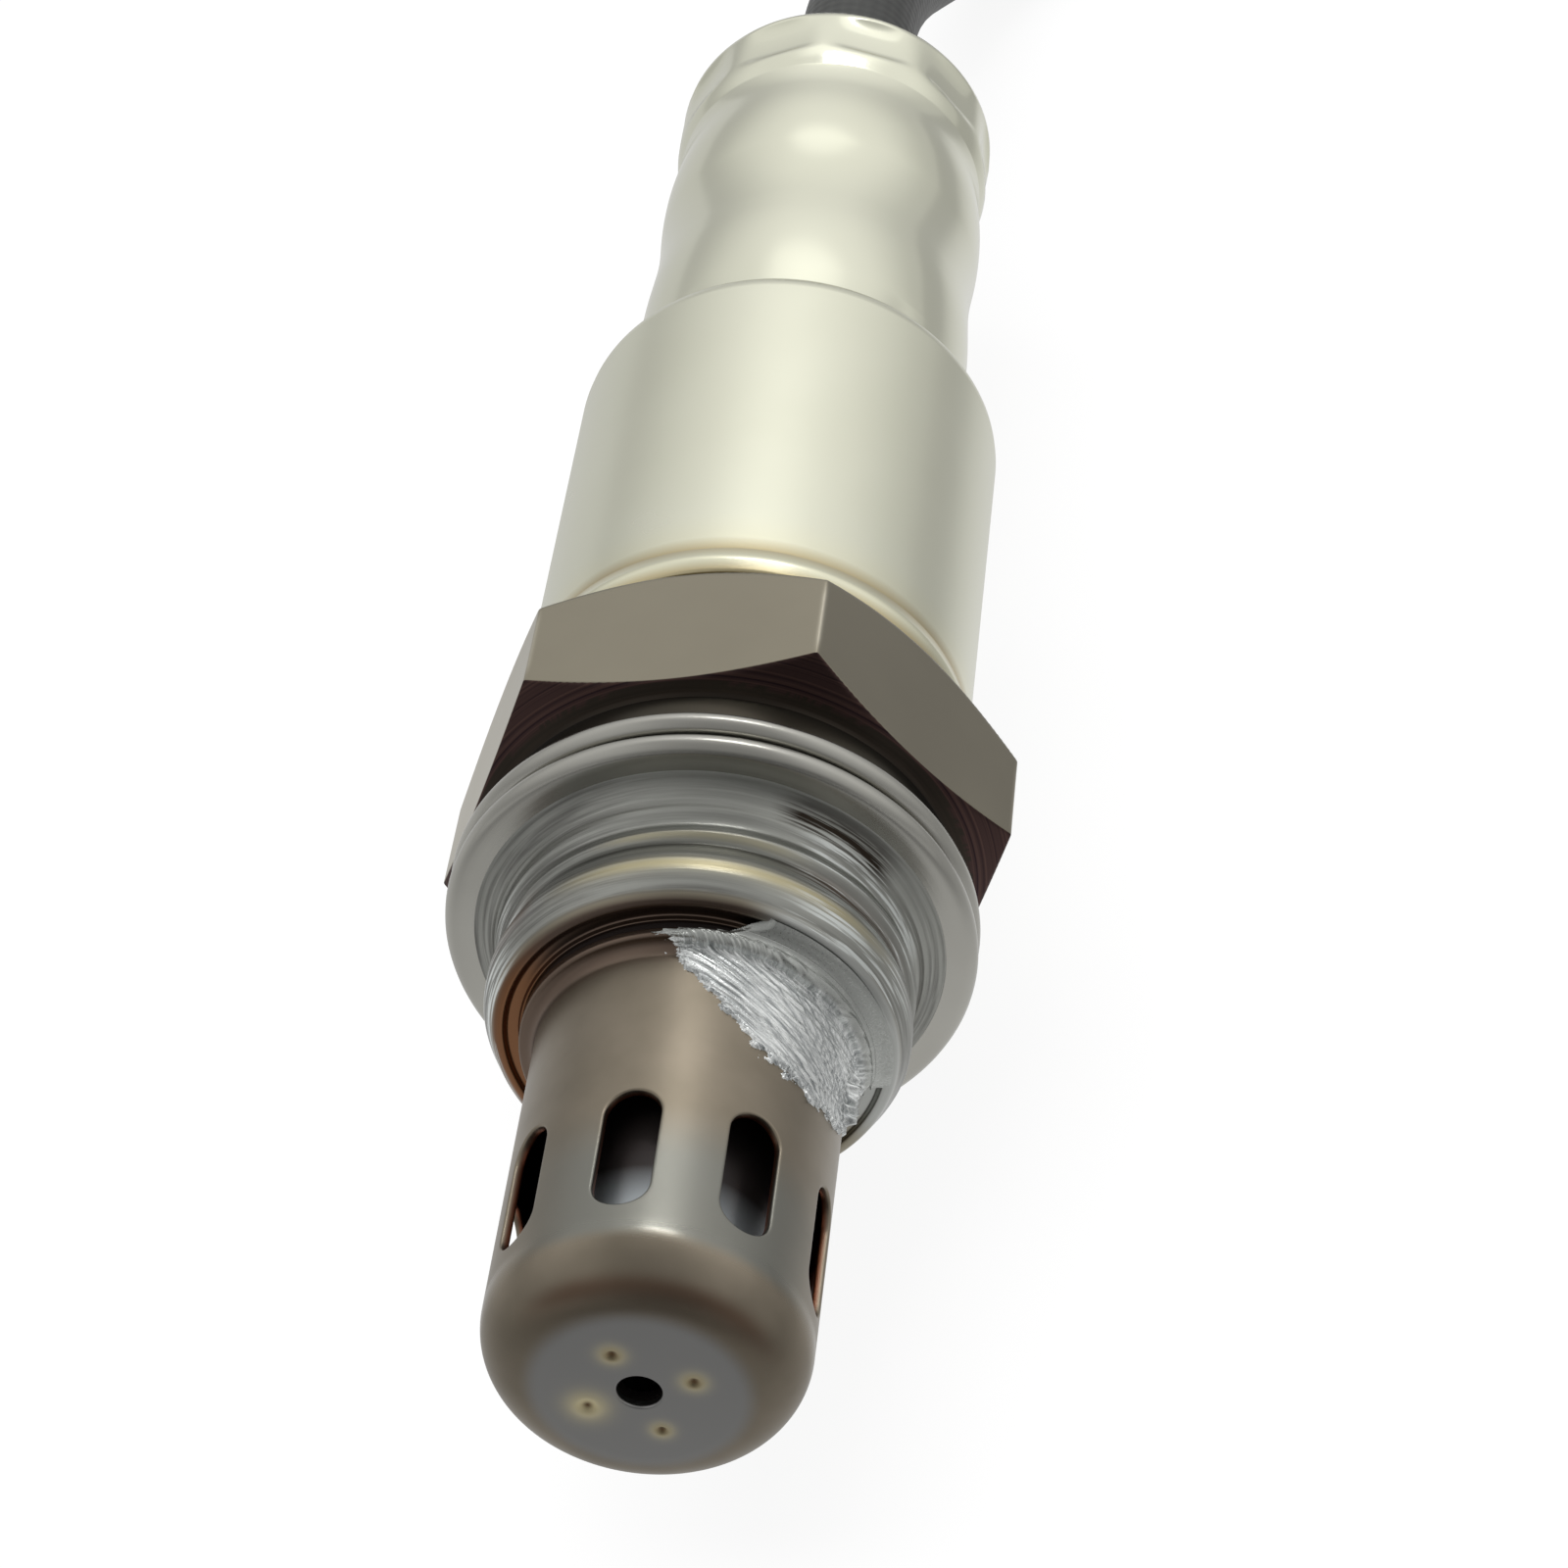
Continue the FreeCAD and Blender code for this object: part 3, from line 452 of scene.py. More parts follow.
# Gasket: soft steel strip folded over itself twice and rolled into a ring, so that two round
# rims stand out with a dark gap between them. It is captive behind the thread.
SHEET = 0.4
GASKET_LENGTH = 3.2
GASKET_BACK = -0.75
GASKET_R = 11.42
GASKET_IN = 9.25
FOLD_R = 0.34


def evenly(count):
    """Angles in degrees that part a turn evenly."""
    return np.arange(count) * 360 / count


def headings(line):
    """Unit direction at each point of a line."""
    heading = np.gradient(line, axis=0)
    return heading / np.linalg.norm(heading, axis=1)[:, None]


def folded_section():
    """Closed section of the strip: a centre line of straight runs and half circles, moved to
    both sides by half the sheet's thickness along its normal."""
    half = SHEET / 2
    first = -GASKET_LENGTH + half
    second = first + 2 * FOLD_R
    fourth = GASKET_BACK - half
    third = fourth - 2 * FOLD_R
    bend = GASKET_R - FOLD_R - half
    gap = (third - second) / 2
    arc = np.linspace(-np.pi / 2, np.pi / 2, 13)
    half_circle = np.stack([np.cos(arc), np.sin(arc)], axis=1)
    line = np.concatenate(
        [
            [[GASKET_IN + half, first], [GASKET_IN + 0.8, first], [bend - 0.3, first]],
            half_circle * FOLD_R + [bend, (first + second) / 2],
            [[bend - 0.5, second], [GASKET_IN + gap + 0.4, second]],
            half_circle * [-gap, gap] + [GASKET_IN + gap, (second + third) / 2],
            [[GASKET_IN + gap + 0.4, third], [bend - 0.5, third]],
            half_circle * FOLD_R + [bend, (third + fourth) / 2],
            [[bend - 0.3, fourth], [GASKET_IN + 0.6, fourth], [GASKET_IN + half, fourth]],
        ]
    )
    heading = headings(line)
    side = np.stack([heading[:, 1], -heading[:, 0]], axis=1) * half
    loop = np.concatenate([line + side, (line - side)[::-1]])
    return np.concatenate([loop, loop[:1]])


gasket = skin("gasket_ring", [lathe(folded_section(), evenly(256))])
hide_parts("gasket")


def soft_steel():
    """Annealed stainless strip: satin, clouded in 5 mm patches, with faint rings 0.2 mm apart
    from the roller that folded it."""
    made, tree, shader, place = blank("annealed_steel_strip")
    parts = add(tree, "SeparateXYZ", [place]).node.outputs
    rolled = add(tree, "CombineXYZ", {"X": axis_distance(tree, parts), "Y": parts["Y"]})
    rings = add(tree, "TexNoise", {"Vector": rolled, "Scale": 5000.0, "Detail": 2.0})
    clouds = add(tree, "TexNoise", {"Vector": place, "Scale": 200.0, "Detail": 3.0})
    tint = painted(tree, "a3a19a", (clouds, "b3b2ab", 1.0))
    bump = add(tree, "Bump", {"Height": rings, "Strength": 0.2, "Distance": 0.02 * MM})
    feed(shader, {"Base Color": tint, "Normal": bump, "Metallic": 1.0, "Roughness": 0.27})
    return made


gasket.data.materials.append(soft_steel())


# Inner protector: the second cup of the same sheet, seen dark through the slots. Its tip is
# spot-welded to the outer cup and its flange is clamped under the outer cup's flange.
def shade_painted_sheet():
    """Sheet steel, neutral grey near the slots' front ends, and painted nearly black as shade further
    back inside the outer cup and on the tip seen through its hole, with a grain of 0.25 mm."""
    made, tree, shader, place = blank("steel_sheet_painted_shade")
    parts = add(tree, "SeparateXYZ", [place]).node.outputs
    back = add(tree, "MapRange", [parts["Y"], -23.6 * MM, -20.6 * MM])
    tip = add(tree, "MapRange", [parts["Y"], -25.5 * MM, -26.2 * MM])
    # Painted shade: dark further back inside the outer cup and on the tip, lighter near the slots'
    # front ends.
    painted_dark = add(tree, "Math", [back, tip], operation="MAXIMUM")
    tint = painted(tree, "a9b0b3", (painted_dark, "2c2726", 1.0))
    grain = add(tree, "TexNoise", {"Vector": place, "Scale": 4000.0, "Detail": 3.0})
    bump = add(tree, "Bump", {"Height": grain, "Strength": 0.2, "Distance": 0.02 * MM})
    feed(shader, {"Base Color": tint, "Normal": bump, "Metallic": 0.7, "Roughness": 0.38})
    return made


dress(shade_painted_sheet(), "inner_protector")


# Outer protector: a cup drawn from thin heat-resistant steel, with eight punched slots, a hole
# in its tip and four spot welds that hold the inner cup. Its flared end is laser-welded to the
# shell. Exhaust heat has turned the satin sheet a warm brown grey.
TIP_Y = -28.0
COVER_R = 6.54
COVER_IN = COVER_R - SHEET
COVER_EDGE = 2.7
COVER_BACK = -9.6
FLANGE_R = 7.25
TIP_HOLE_R = 0.88
SLOTS = 8
SLOT_TURN = -6.2
SLOT_R = 1.17
SLOT_Y = -21.15
SLOT_HALF = 1.88
BAND_FRONT = -25.2
BAND_BACK = -17.0
BAND_SIDE = 24
BAND_ACROSS = 20
RIM = 0.1
WELD_RING = 2.28
# Spot welds by angle and radius. The last one stayed shallow and has a pale middle.
PALE_WELD = -112.4
WELDS = ((-22.1, 0.2), (73.4, 0.2), (162.7, 0.17), (PALE_WELD, 0.3))


def slotted_band(radius_out, radius_in):
    """Sheet between two slot ends, one patch for each slot. A ring of points on the patch's edge
    is drawn in toward the slot, which is all that lies within its radius of a short core line;
    the rows run over the outside, round the punched edge and back along the inside."""
    width = radius_out * math.pi / SLOTS
    across = np.linspace(-width, width, BAND_ACROSS + 1)[:-1]
    along = np.linspace(BAND_FRONT, BAND_BACK, BAND_SIDE + 1)[:-1]
    edge = np.concatenate(
        [
            np.stack([across, np.full_like(across, BAND_FRONT)], axis=1),
            np.stack([np.full_like(along, width), along], axis=1),
            np.stack([-across, np.full_like(across, BAND_BACK)], axis=1),
            np.stack([np.full_like(along, -width), BAND_FRONT + BAND_BACK - along], axis=1),
        ]
    )
    nearest = np.clip(edge[:, 1], SLOT_Y - SLOT_HALF, SLOT_Y + SLOT_HALF)
    core = np.stack([0 * nearest, nearest], axis=1)
    outward = edge - core
    reach = np.linalg.norm(outward, axis=1)
    outward /= reach[:, None]
    spread = np.linspace(1, 0, 9)[:, None] ** 1.4
    bend = np.linspace(0, np.pi / 2, 5)[1:, None]
    lip = SLOT_R + RIM
    over = lip + (reach - lip) * spread
    turning = lip - RIM * np.sin(bend) + 0 * reach
    from_core = np.concatenate([over, turning, turning[::-1], over[::-1]])
    depth = np.concatenate(
        [
            0 * spread + radius_out,
            radius_out - RIM + RIM * np.cos(bend),
            radius_in + RIM - RIM * np.cos(bend[::-1]),
            0 * spread + radius_in,
        ]
    )
    place = core[None] + outward[None] * from_core[:, :, None]
    turn = np.degrees(place[:, :, 0] / radius_out) + SLOT_TURN
    return [polar(depth, place[:, :, 1], turn + 360 / SLOTS * i) for i in range(SLOTS)]


def weld_distance(x, z, weld):
    """Distance on the tip from one weld's centre, as a share of the weld's own radius."""
    turn = math.radians(weld[0])
    return np.hypot(x - WELD_RING * math.sin(turn), z - WELD_RING * math.cos(turn)) / weld[1]


def welded_tip(points):
    """Each spot weld is a pit with a low rim: the tip moves in by a bell curve of the distance
    and out by a narrower one at the rim."""
    x, y, z = points[..., 0], points[..., 1], points[..., 2]
    outside = ramp(y, TIP_Y + SHEET / 2, TIP_Y + SHEET / 4)
    for weld in WELDS:
        away = weld_distance(x, z, weld)
        y += outside * (0.09 * bell(away, 0, 1) - 0.03 * bell(away, 1.6, 0.5))
    return points


cover_angles = SLOT_TURN + 180 / SLOTS + evenly(SLOTS * BAND_ACROSS)
cover_tip = rounded(
    [(COVER_R, BAND_FRONT), (COVER_R, TIP_Y, COVER_EDGE), (TIP_HOLE_R, TIP_Y, 0.12)]
    + [(TIP_HOLE_R, TIP_Y + SHEET), (COVER_IN, TIP_Y + SHEET, COVER_EDGE - SHEET)]
    + [(COVER_IN, BAND_FRONT)],
    step=0.09,
    arc=40,
)
cover_end = rounded(
    [(COVER_R, BAND_BACK), (COVER_R, COVER_BACK - SHEET, 0.5), (FLANGE_R, COVER_BACK - SHEET, 0.15)]
    + [(FLANGE_R, COVER_BACK), (COVER_IN, COVER_BACK, 0.5), (COVER_IN, BAND_BACK)],
    step=0.4,
)
cover_grids = [welded_tip(lathe(cover_tip, cover_angles)), lathe(cover_end, cover_angles)]
outer_protector = skin("protector_outer_cup", cover_grids + slotted_band(COVER_R, COVER_IN))
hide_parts("outer_protector")


def protector_marks(r, y, a):
    """Where heat and paste show: round the spot welds, on the tip's disc and its edge, whose top is
    also darkened as a painted reflection of the dark room, on the bend that the deep drawing polished,
    below the slots, at the flange and inside."""
    turn = np.radians(a)
    away = [weld_distance(r * np.sin(turn), r * np.cos(turn), weld) for weld in WELDS]
    on_tip = ramp(y, TIP_Y + 0.4, TIP_Y + 0.3)
    core = np.where(np.abs(a - PALE_WELD) < 20, 0.7, 1.5)
    at_flange = ramp(y, -10.9, -10.2)
    return {
        "weld_halo": 1.3 * on_tip * sum(bell(far, 0, 2.5) for far in away),
        "weld_core": on_tip * sum(bell(far, 0, core) for far in away),
        "neutral": ramp(y, -18.5, -22) * ramp(y, -26.0, -25.3) * sector(a, 15, 75, 30),
        # Brown heat tint on the top of the tip's edge, darkened as a painted reflection of the dark
        # room.
        "scorch_and_dark_reflection": bell(y, -27.45, 0.3) * ramp(r, 3.9, 4.3) * sector(a, 12, 75, 35),
        "drawn_edge": ramp(y, -24.7, -25.2) * ramp(y, -26.4, -25.7),
        "disc": ramp(r, 4.8, 3.9) * ramp(y, TIP_Y + 0.39, TIP_Y + 0.3),
        "burnt": at_flange * sector(a, -50, 95, 75),
        "filmed": at_flange * sector(a, 75, 60, 40),
        "inside": ramp(r, COVER_R - 0.15, COVER_R - 0.3)
        * ramp(y, -25.8, -25.3)
        * ramp(y, -10.3, -10.8),
    }


def heat_tinted_sheet():
    """Drawn nickel-chrome sheet after exhaust heat: satin, brown grey on the wall in clouds of
    4 mm, a neutral bloom below the slots and on the tip, burnt dark brown where it is welded,
    straw-coloured rings round the spot welds and rusty brown inside. The drawing left fine
    rings, 0.03 mm apart along the cup."""
    made, tree, shader, place = blank("heat_tinted_steel_sheet")
    clouds = add(tree, "TexNoise", {"Vector": place, "Scale": 260.0, "Detail": 3.0, "Roughness": 0.6})
    drawn = add(tree, "Mapping", {"Vector": place, "Scale": (1.0, 4.0, 1.0)})
    fine = add(tree, "TexNoise", {"Vector": drawn, "Scale": 9000.0, "Detail": 1.0})
    tint = painted(
        tree,
        "928879",
        (clouds, "766e5f", 1.0),
        ("neutral", "80817b", 0.85),
        ("disc", "929291", 0.93),
        # Brown heat tint with a painted dark reflection on the top of the tip's edge.
        ("scorch_and_dark_reflection", "644e3f", 0.75),
        ("burnt", "6f5f54", 0.92),
        ("filmed", "9a9c9a", 0.9),
        ("weld_halo", "ded2a8", 0.85),
        ("weld_core", "4b2a12", 0.95),
        ("inside", "8e4f33", 0.9),
    )
    rough = add(tree, "MapRange", [clouds, 0.0, 1.0, 0.33, 0.39])
    rough = add(tree, "Math", ["drawn_edge", -0.11, rough], operation="MULTIPLY_ADD")
    bump = add(tree, "Bump", {"Height": fine, "Strength": 0.15, "Distance": 0.005 * MM})
    feed(shader, {"Base Color": tint, "Roughness": rough, "Normal": bump, "Metallic": 1.0})
    return made


mark(outer_protector, protector_marks)
outer_protector.data.materials.append(heat_tinted_sheet())


# Anti-seize paste: a silvery smear of nickel and graphite grease that a thumb dragged from the
# thread over the protector's flange. It has dried in fine ridges, with one curled edge.
PASTE_FROM = -9
PASTE_TO = 106
PASTE_COLUMNS = 440
PASTE_SUNK = 0.05
# The wiped front edge of the smear, and where it starts on the nose (angle, y).
PASTE_EDGE = (
    ((-9, -9.9), (0, -10.2), (4, -11.1), (14, -12.3), (26, -13.8), (32, -14.6), (45, -15.2))
    + ((61, -15.4), (82, -14.7), (106, -12.4))
)
PASTE_START = ((PASTE_FROM, -9.75), (17, -9.6), (23, -9.3), (29, -9.15), (PASTE_TO, -9.1))


def waves(u, v, seed, count=24, lowest=1.0, highest=6.0):
    """Smooth noise: the mean of cosine waves with seeded directions, phases and pitches."""
    draw = np.random.default_rng(seed)
    pitch = draw.uniform(lowest, highest, count)
    heading = draw.uniform(0, 2 * np.pi, count)
    phase = draw.uniform(0, 2 * np.pi, count)
    total = 0
    for k, h, p in zip(pitch, heading, phase):
        total = total + np.cos(2 * np.pi * k * (u * np.cos(h) + v * np.sin(h)) + p)
    return total / math.sqrt(count / 2)


def smeared_paste():
    """Points over a base line from the nose rim across the gap and the flange to the wall, moved
    out along its normal by the film's depth: a smooth fillet in the gap, then deep near the
    flange and thinning to the wiped edge, in ridges that run with the smear."""
    base = rounded(
        [(8.32, -9.2), (7.75, -9.3, 1.2), (7.3, -9.62, 0.6), (7.27, -10.04, 0.2), (6.57, -10.04, 0.45)]
        + [(6.55, -16.4)],
        step=0.05,
        arc=14,
    )
    heading = headings(base)
    run = np.concatenate([[0], np.cumsum(np.linalg.norm(np.diff(base, axis=0), axis=1))])[:, None]
    angle = np.linspace(PASTE_FROM, PASTE_TO, PASTE_COLUMNS)[None, :]
    low = np.interp(angle, *zip(*PASTE_EDGE))
    start = np.interp(angle, *zip(*PASTE_START))
    y = base[:, 1:]
    ragged = 0.14 * waves(angle / 30, run / 3, 3) + 0.08 * waves(angle / 9, run, 5, highest=9)
    across = y - 0.55 * low + 0.02 * waves(angle / 40, run / 4, 21)
    lines = 0.5 + 0.25 * waves(angle / 400, across, 7, 40, 1.5, 9.0)
    gap = ramp(y, -9.9, -9.6)
    film = 0.1 + 0.12 * np.clip(lines, 0, 1) * (1 - gap) + 0.1 * ramp(y, -12.5, -10.4)
    curl = 0.5 * bell(angle, 88 + 1.5 * waves(run / 3, run / 3, 11, 6), 2.2)
    curl = curl * ramp(y, -14.6, -13.6) * ramp(y, -10.6, -11.4)
    ends = ramp(angle + 2 * waves(run, run, 13), PASTE_FROM, 7) * ramp(angle, PASTE_TO, 98)
    shown = ramp(y - low + ragged, -0.05, 0.3) * ends * ramp(y, start, start - 0.12)
    height = (film + curl) * shown - PASTE_SUNK
    return polar(base[:, :1] - heading[:, 1:] * height, y + heading[:, :1] * height, angle), height


def patch(name, points, kept):
    """Open sheet in metres from a grid in millimetres: a quad stays where a corner is kept."""
    rows, columns = kept.shape
    index = np.arange(rows * columns).reshape(rows, columns)
    quads = np.stack([index[:-1, :-1], index[1:, :-1], index[1:, 1:], index[:-1, 1:]], axis=2)
    quads = quads[kept[:-1, :-1] | kept[:-1, 1:] | kept[1:, 1:] | kept[1:, :-1]]
    corners, packed = np.unique(quads, return_inverse=True)
    mesh = meshed(name, points.reshape(-1, 3)[corners], packed.reshape(-1, 4))
    mesh.shade_smooth()
    piece = stand(name, mesh)
    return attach(piece, "root")


def dried_paste():
    """Dried nickel paste: bright flakes of 0.1 mm in grey grease, drawn out into lines 0.2 mm
    wide that slant across the flange."""
    made, tree, shader, place = blank("dried_nickel_paste")
    parts = add(tree, "SeparateXYZ", [place]).node.outputs
    turn = add(tree, "Math", [parts["X"], parts["Z"]], operation="ARCTAN2")
    slant = add(tree, "Math", [turn, 3.2 * MM, parts["Y"]], operation="MULTIPLY_ADD")
    round_way = add(tree, "Math", [turn, 0.35 * MM], operation="MULTIPLY")
    wiped = add(tree, "CombineXYZ", {"X": round_way, "Y": slant})
    lines = add(tree, "TexNoise", {"Vector": wiped, "Scale": 5200.0, "Detail": 5.0, "Roughness": 0.75})
    flakes = add(tree, "TexNoise", {"Vector": place, "Scale": 9000.0, "Detail": 2.0})
    drawn = add(tree, "MapRange", [lines, 0.36, 0.58])
    tint = painted(tree, "8c9091", (drawn, "eceeec", 1.0), ("fill", "acaeaa", 1.0))
    relief = add(tree, "Mix", {"Factor": 0.4, "A": lines, "B": flakes}, "Result", data_type="FLOAT")
    strength = add(tree, "MapRange", ["fill", 0.0, 1.0, 0.6, 0.1])
    bump = add(tree, "Bump", {"Height": relief, "Strength": strength, "Distance": 0.05 * MM})
    rough = add(tree, "MapRange", [flakes, 0.3, 0.7, 0.2, 0.5])
    feed(shader, {"Base Color": tint, "Normal": bump, "Roughness": rough, "Metallic": 0.95})
    return made


paste_points, paste_height = smeared_paste()
paste = patch("anti_seize_smear", paste_points, paste_height > 0.005 - PASTE_SUNK)
mark(paste, lambda r, y, a: {"fill": ramp(r, 7.1, 7.35)})
paste.data.materials.append(dried_paste())


# Outer tube: stainless tube drawn to a step, slid over the shell's barrel and welded round its
# front edge, then crimped twice on its narrow end to grip the rubber grommet.
TUBE_R = 10.07
BARREL_FIT_R = 9.67
BEAD_FRONT = 10.0
SHOULDER_Y = 33.0
NECK_R = 7.9
BULGE_R = 8.14
CRIMP_R = 7.85
CRIMP_Y = 45.0
WAIST_R = 7.77
WAIST_FRONT = 47.6
WAIST_BACK = 54.4
TUBE_BACK = 59.5
TUBE_IN = BULGE_R - SHEET
MOUTH_R = 6.2
JAWS = 10
JAW_TURN = 18.7
JAW_R = 7.86
# Small dents in front of the first crimp (angle, y).
DENTS = ((45.4, 35.2), (-36.0, 34.7), (-68.0, 36.0))


def pressed(points, angles):
    """Crimping jaws leave flats between ridges: in the crimp's stretch no point stands further
    out than the jaw's distance over the cosine of the angle from its middle. Each dent is a bell
    curve of the distance from its middle."""
    r = np.hypot(points[..., 0], points[..., 2])
    y = points[..., 1]
    from_jaw = np.radians((angles - JAW_TURN + 180 / JAWS) % (360 / JAWS) - 180 / JAWS)
    flat = JAW_R / np.cos(from_jaw)
    stretch = ramp(y, 54.6, 56.0) * ramp(y, 59.1, 58.2)
    reached = (r > BULGE_R - SHEET / 2) & (y > WAIST_BACK - 2)
    new = np.where(reached, soft_least([r, flat + 0.9 * (1 - stretch)], 0.05), r)
    for turn, place in DENTS:
        across = np.radians((angles - turn + 180) % 360 - 180) * NECK_R
        depth = 0.14 * bell(across, 0, 0.9) * bell(y, place, 0.8)
        new = new - depth * ramp(r, NECK_R - 0.2, NECK_R - 0.1) * ramp(r, 9, 8.5)
    return points * np.stack([new / r, np.ones_like(r), new / r], axis=2)


tube_outside = [
    (BARREL_FIT_R, BEAD_FRONT),
    (10.05, BEAD_FRONT, 0.2),
    (10.25, BEAD_FRONT + 0.8, 0.6),
    (TUBE_R, 11.6),
    (TUBE_R, SHOULDER_Y, 1.4),
    (NECK_R - 0.06, SHOULDER_Y, 0.5),
    (NECK_R - 0.04, 34.6, 20.0),
    (BULGE_R, 37.9, 35.0),
    (BULGE_R, 40.4, 30.0),
    (CRIMP_R, CRIMP_Y, 28.0),
    (BULGE_R - 0.01, 48.4, 22.0),
    (BULGE_R - 0.01, 50.6, 18.0),
    (WAIST_R, WAIST_BACK - 0.9, 8.0),
    (WAIST_R + 0.06, WAIST_BACK, 0.4),
    (BULGE_R, WAIST_BACK + 1.1, 5.0),
    (BULGE_R, TUBE_BACK, 1.0),
]
tube_inside = [
    (MOUTH_R, TUBE_BACK, 0.15),
    (MOUTH_R, TUBE_BACK - SHEET),
    (TUBE_IN, TUBE_BACK - SHEET, 0.6),
    (TUBE_IN, WAIST_BACK + 0.8, 0.4),
    (WAIST_R - SHEET, WAIST_BACK + 0.2, 0.4),
    (WAIST_R - SHEET, WAIST_FRONT - 0.2, 0.4),
    (TUBE_IN, WAIST_FRONT - 0.7, 0.4),
    (TUBE_IN, 38.2, 0.8),
    (NECK_R - SHEET, 37.4, 0.8),
    (NECK_R - SHEET, SHOULDER_Y - SHEET, 0.9),
    (BARREL_FIT_R, SHOULDER_Y - SHEET, 0.6),
    (BARREL_FIT_R, BEAD_FRONT),
]
tube_angles = evenly(320)
tube_rows = lathe(rounded(tube_outside + tube_inside, step=0.8), tube_angles)
outer_tube = skin("tube_outer", [pressed(tube_rows, tube_angles)])
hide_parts("outer_tube")


def tube_marks(r, y, a):
    """Where the weld's heat reached the front of the tube, and where the crimps polished it."""
    return {
        "weld_heat": bell(y, 11.75, 0.28) + ramp(y, 10.6, 10.2) * 0.8,
        "edge_heat": ramp(y, 14.5, 11.5),
        "crimped": ramp(y, 30, 40),
    }


def satin_tube():
    """Deep-drawn stainless tube: satin, pale with a faint green-yellow cast in clouds of 8 mm,
    with marks 0.5 mm wide along the draw and a straw-coloured line where the weld heated it."""
    made, tree, shader, place = blank("satin_stainless_tube")
    stretched = add(tree, "Mapping", {"Vector": place, "Scale": (1.0, 0.12, 1.0)})
    drawn = add(tree, "TexNoise", {"Vector": stretched, "Scale": 1800.0, "Detail": 2.0})
    clouds = add(tree, "TexNoise", {"Vector": place, "Scale": 120.0, "Detail": 3.0})
    tint = painted(
        tree,
        "dadac6",
        (clouds, "e3e3d1", 1.0),
        ("edge_heat", "e3dfc0", 0.5),
        ("weld_heat", "a8915a", 0.75),
    )
    bump = add(tree, "Bump", {"Height": drawn, "Strength": 0.12, "Distance": 0.012 * MM})
    rough = add(tree, "MapRange", [clouds, 0.0, 1.0, 0.23, 0.29])
    rough = add(tree, "Math", ["crimped", -0.1, rough], operation="MULTIPLY_ADD")
    feed(shader, {"Base Color": tint, "Normal": bump, "Roughness": rough, "Metallic": 1.0})
    return made


mark(outer_tube, tube_marks)
outer_tube.data.materials.append(satin_tube())


# Contact carrier: four stamped nickel-alloy contacts are pushed into an alumina separator, each
# crimped on its lead wire, and a spring-steel ring holds the separator in the tube.
contact_alloy = finish("nickel_alloy_strip", "a9a28f", "c2bca9", 0.8, 0.28, 0.003, metallic=1.0)
spring_steel = finish("tempered_spring_steel", "6d675d", "8a8376", 1.0, 0.32, 0.003, metallic=1.0)
PLACES = ("upper_left", "upper_right", "lower_left", "lower_right")
dress(contact_alloy, *["contact_" + place for place in PLACES])
dress(spring_steel, "holding_ring")
dress(alumina, "separator")


# Lead wires: four stranded wires in extruded fluoropolymer, a black and a grey one for the signal
# and two white ones for the heater. They pass through the grommet into the sleeve.
black_wire = finish("extruded_insulation_black", "161616", "1f1f1e", 0.8, 0.32, 0.004)
grey_wire = finish("extruded_insulation_grey", "7c7e7d", "8a8c8a", 0.8, 0.32, 0.004)
white_wire = finish("extruded_insulation_white", "dcdbd4", "e8e7e1", 0.8, 0.32, 0.004)
for place, insulation in zip(PLACES, (black_wire, grey_wire, white_wire, white_wire)):
    dress(insulation, "lead_wire_" + place, "plug_wire_" + place)


# Grommet: a moulded fluoro-rubber plug that the tube's crimps squeeze round the wires. It is
# black and matt with a fine moulded grain.
moulded_rubber = finish("moulded_fluoro_rubber", "1b1b1a", "262524", 0.12, 0.6, 0.015)
dress(moulded_rubber, "grommet")


# Lead: a limp woven glass sleeve with a black silicone coat around four wires. It runs straight
# out of the grommet, sinks to the floor, and its spare length is folded into a tied hank that
# lies beyond the picture.
LEAD_D = 6.3
FLOOR_Z = -HEX_CORNER_R * math.cos(math.radians(HEX_TURN))
LOW = FLOOR_Z + LEAD_D / 2
LEAD_SIDE = 8.4
HANK_MIDDLE = -5.1
FOLD = 13.5
FAR_TURN = 195.35
NEAR_TURN = 128.65
TAIL_Z = 1.6
WEAVE_STARTS = 14
WEAVE_PITCH = 1.4


def fold_points(middle_y, start, end, count, low, high):
    """Turn of the hank: equal steps on a circle, with the height easing from low to high."""
    turn = np.radians(np.linspace(start, end, count))
    ease = np.linspace(0, 1, count)
    reach = FOLD / math.cos(math.radians(abs(end - start) / (count - 1)) / 2)
    return [
        (HANK_MIDDLE + reach * math.cos(t), middle_y + reach * math.sin(t), low + (high - low) * e)
        for t, e in zip(turn, ease)
    ]


lead_route = [(0, 54.0, 0), (0, 66.0, 0), (0.2, 77.5, -1.6), (3.0, 90.0, -6.4)]
lead_route += [(LEAD_SIDE, y, LOW) for y in (100.0, 112.0, 130.0, 150.0, 172.0, 189.0)]
lead_route += fold_points(FAR_TURN, 5, 175, 8, LOW, LOW)
lead_route += [(HANK_MIDDLE - FOLD, y, LOW) for y in (188.0, 172.0, 156.0)]
lead_route += [(HANK_MIDDLE - FOLD, 141.0, LOW + 0.8)]
lead_route += fold_points(NEAR_TURN, 185, 300, 6, LOW + 1.4, LOW + LEAD_D)
lead_route += fold_points(NEAR_TURN, 325, 415, 5, LOW + LEAD_D, LOW + LEAD_D + 1.5)
lead_route += [(-2.0, 144.5, TAIL_Z - 1.0), (HANK_MIDDLE, 149.0, TAIL_Z), (HANK_MIDDLE, 153.0, TAIL_Z)]


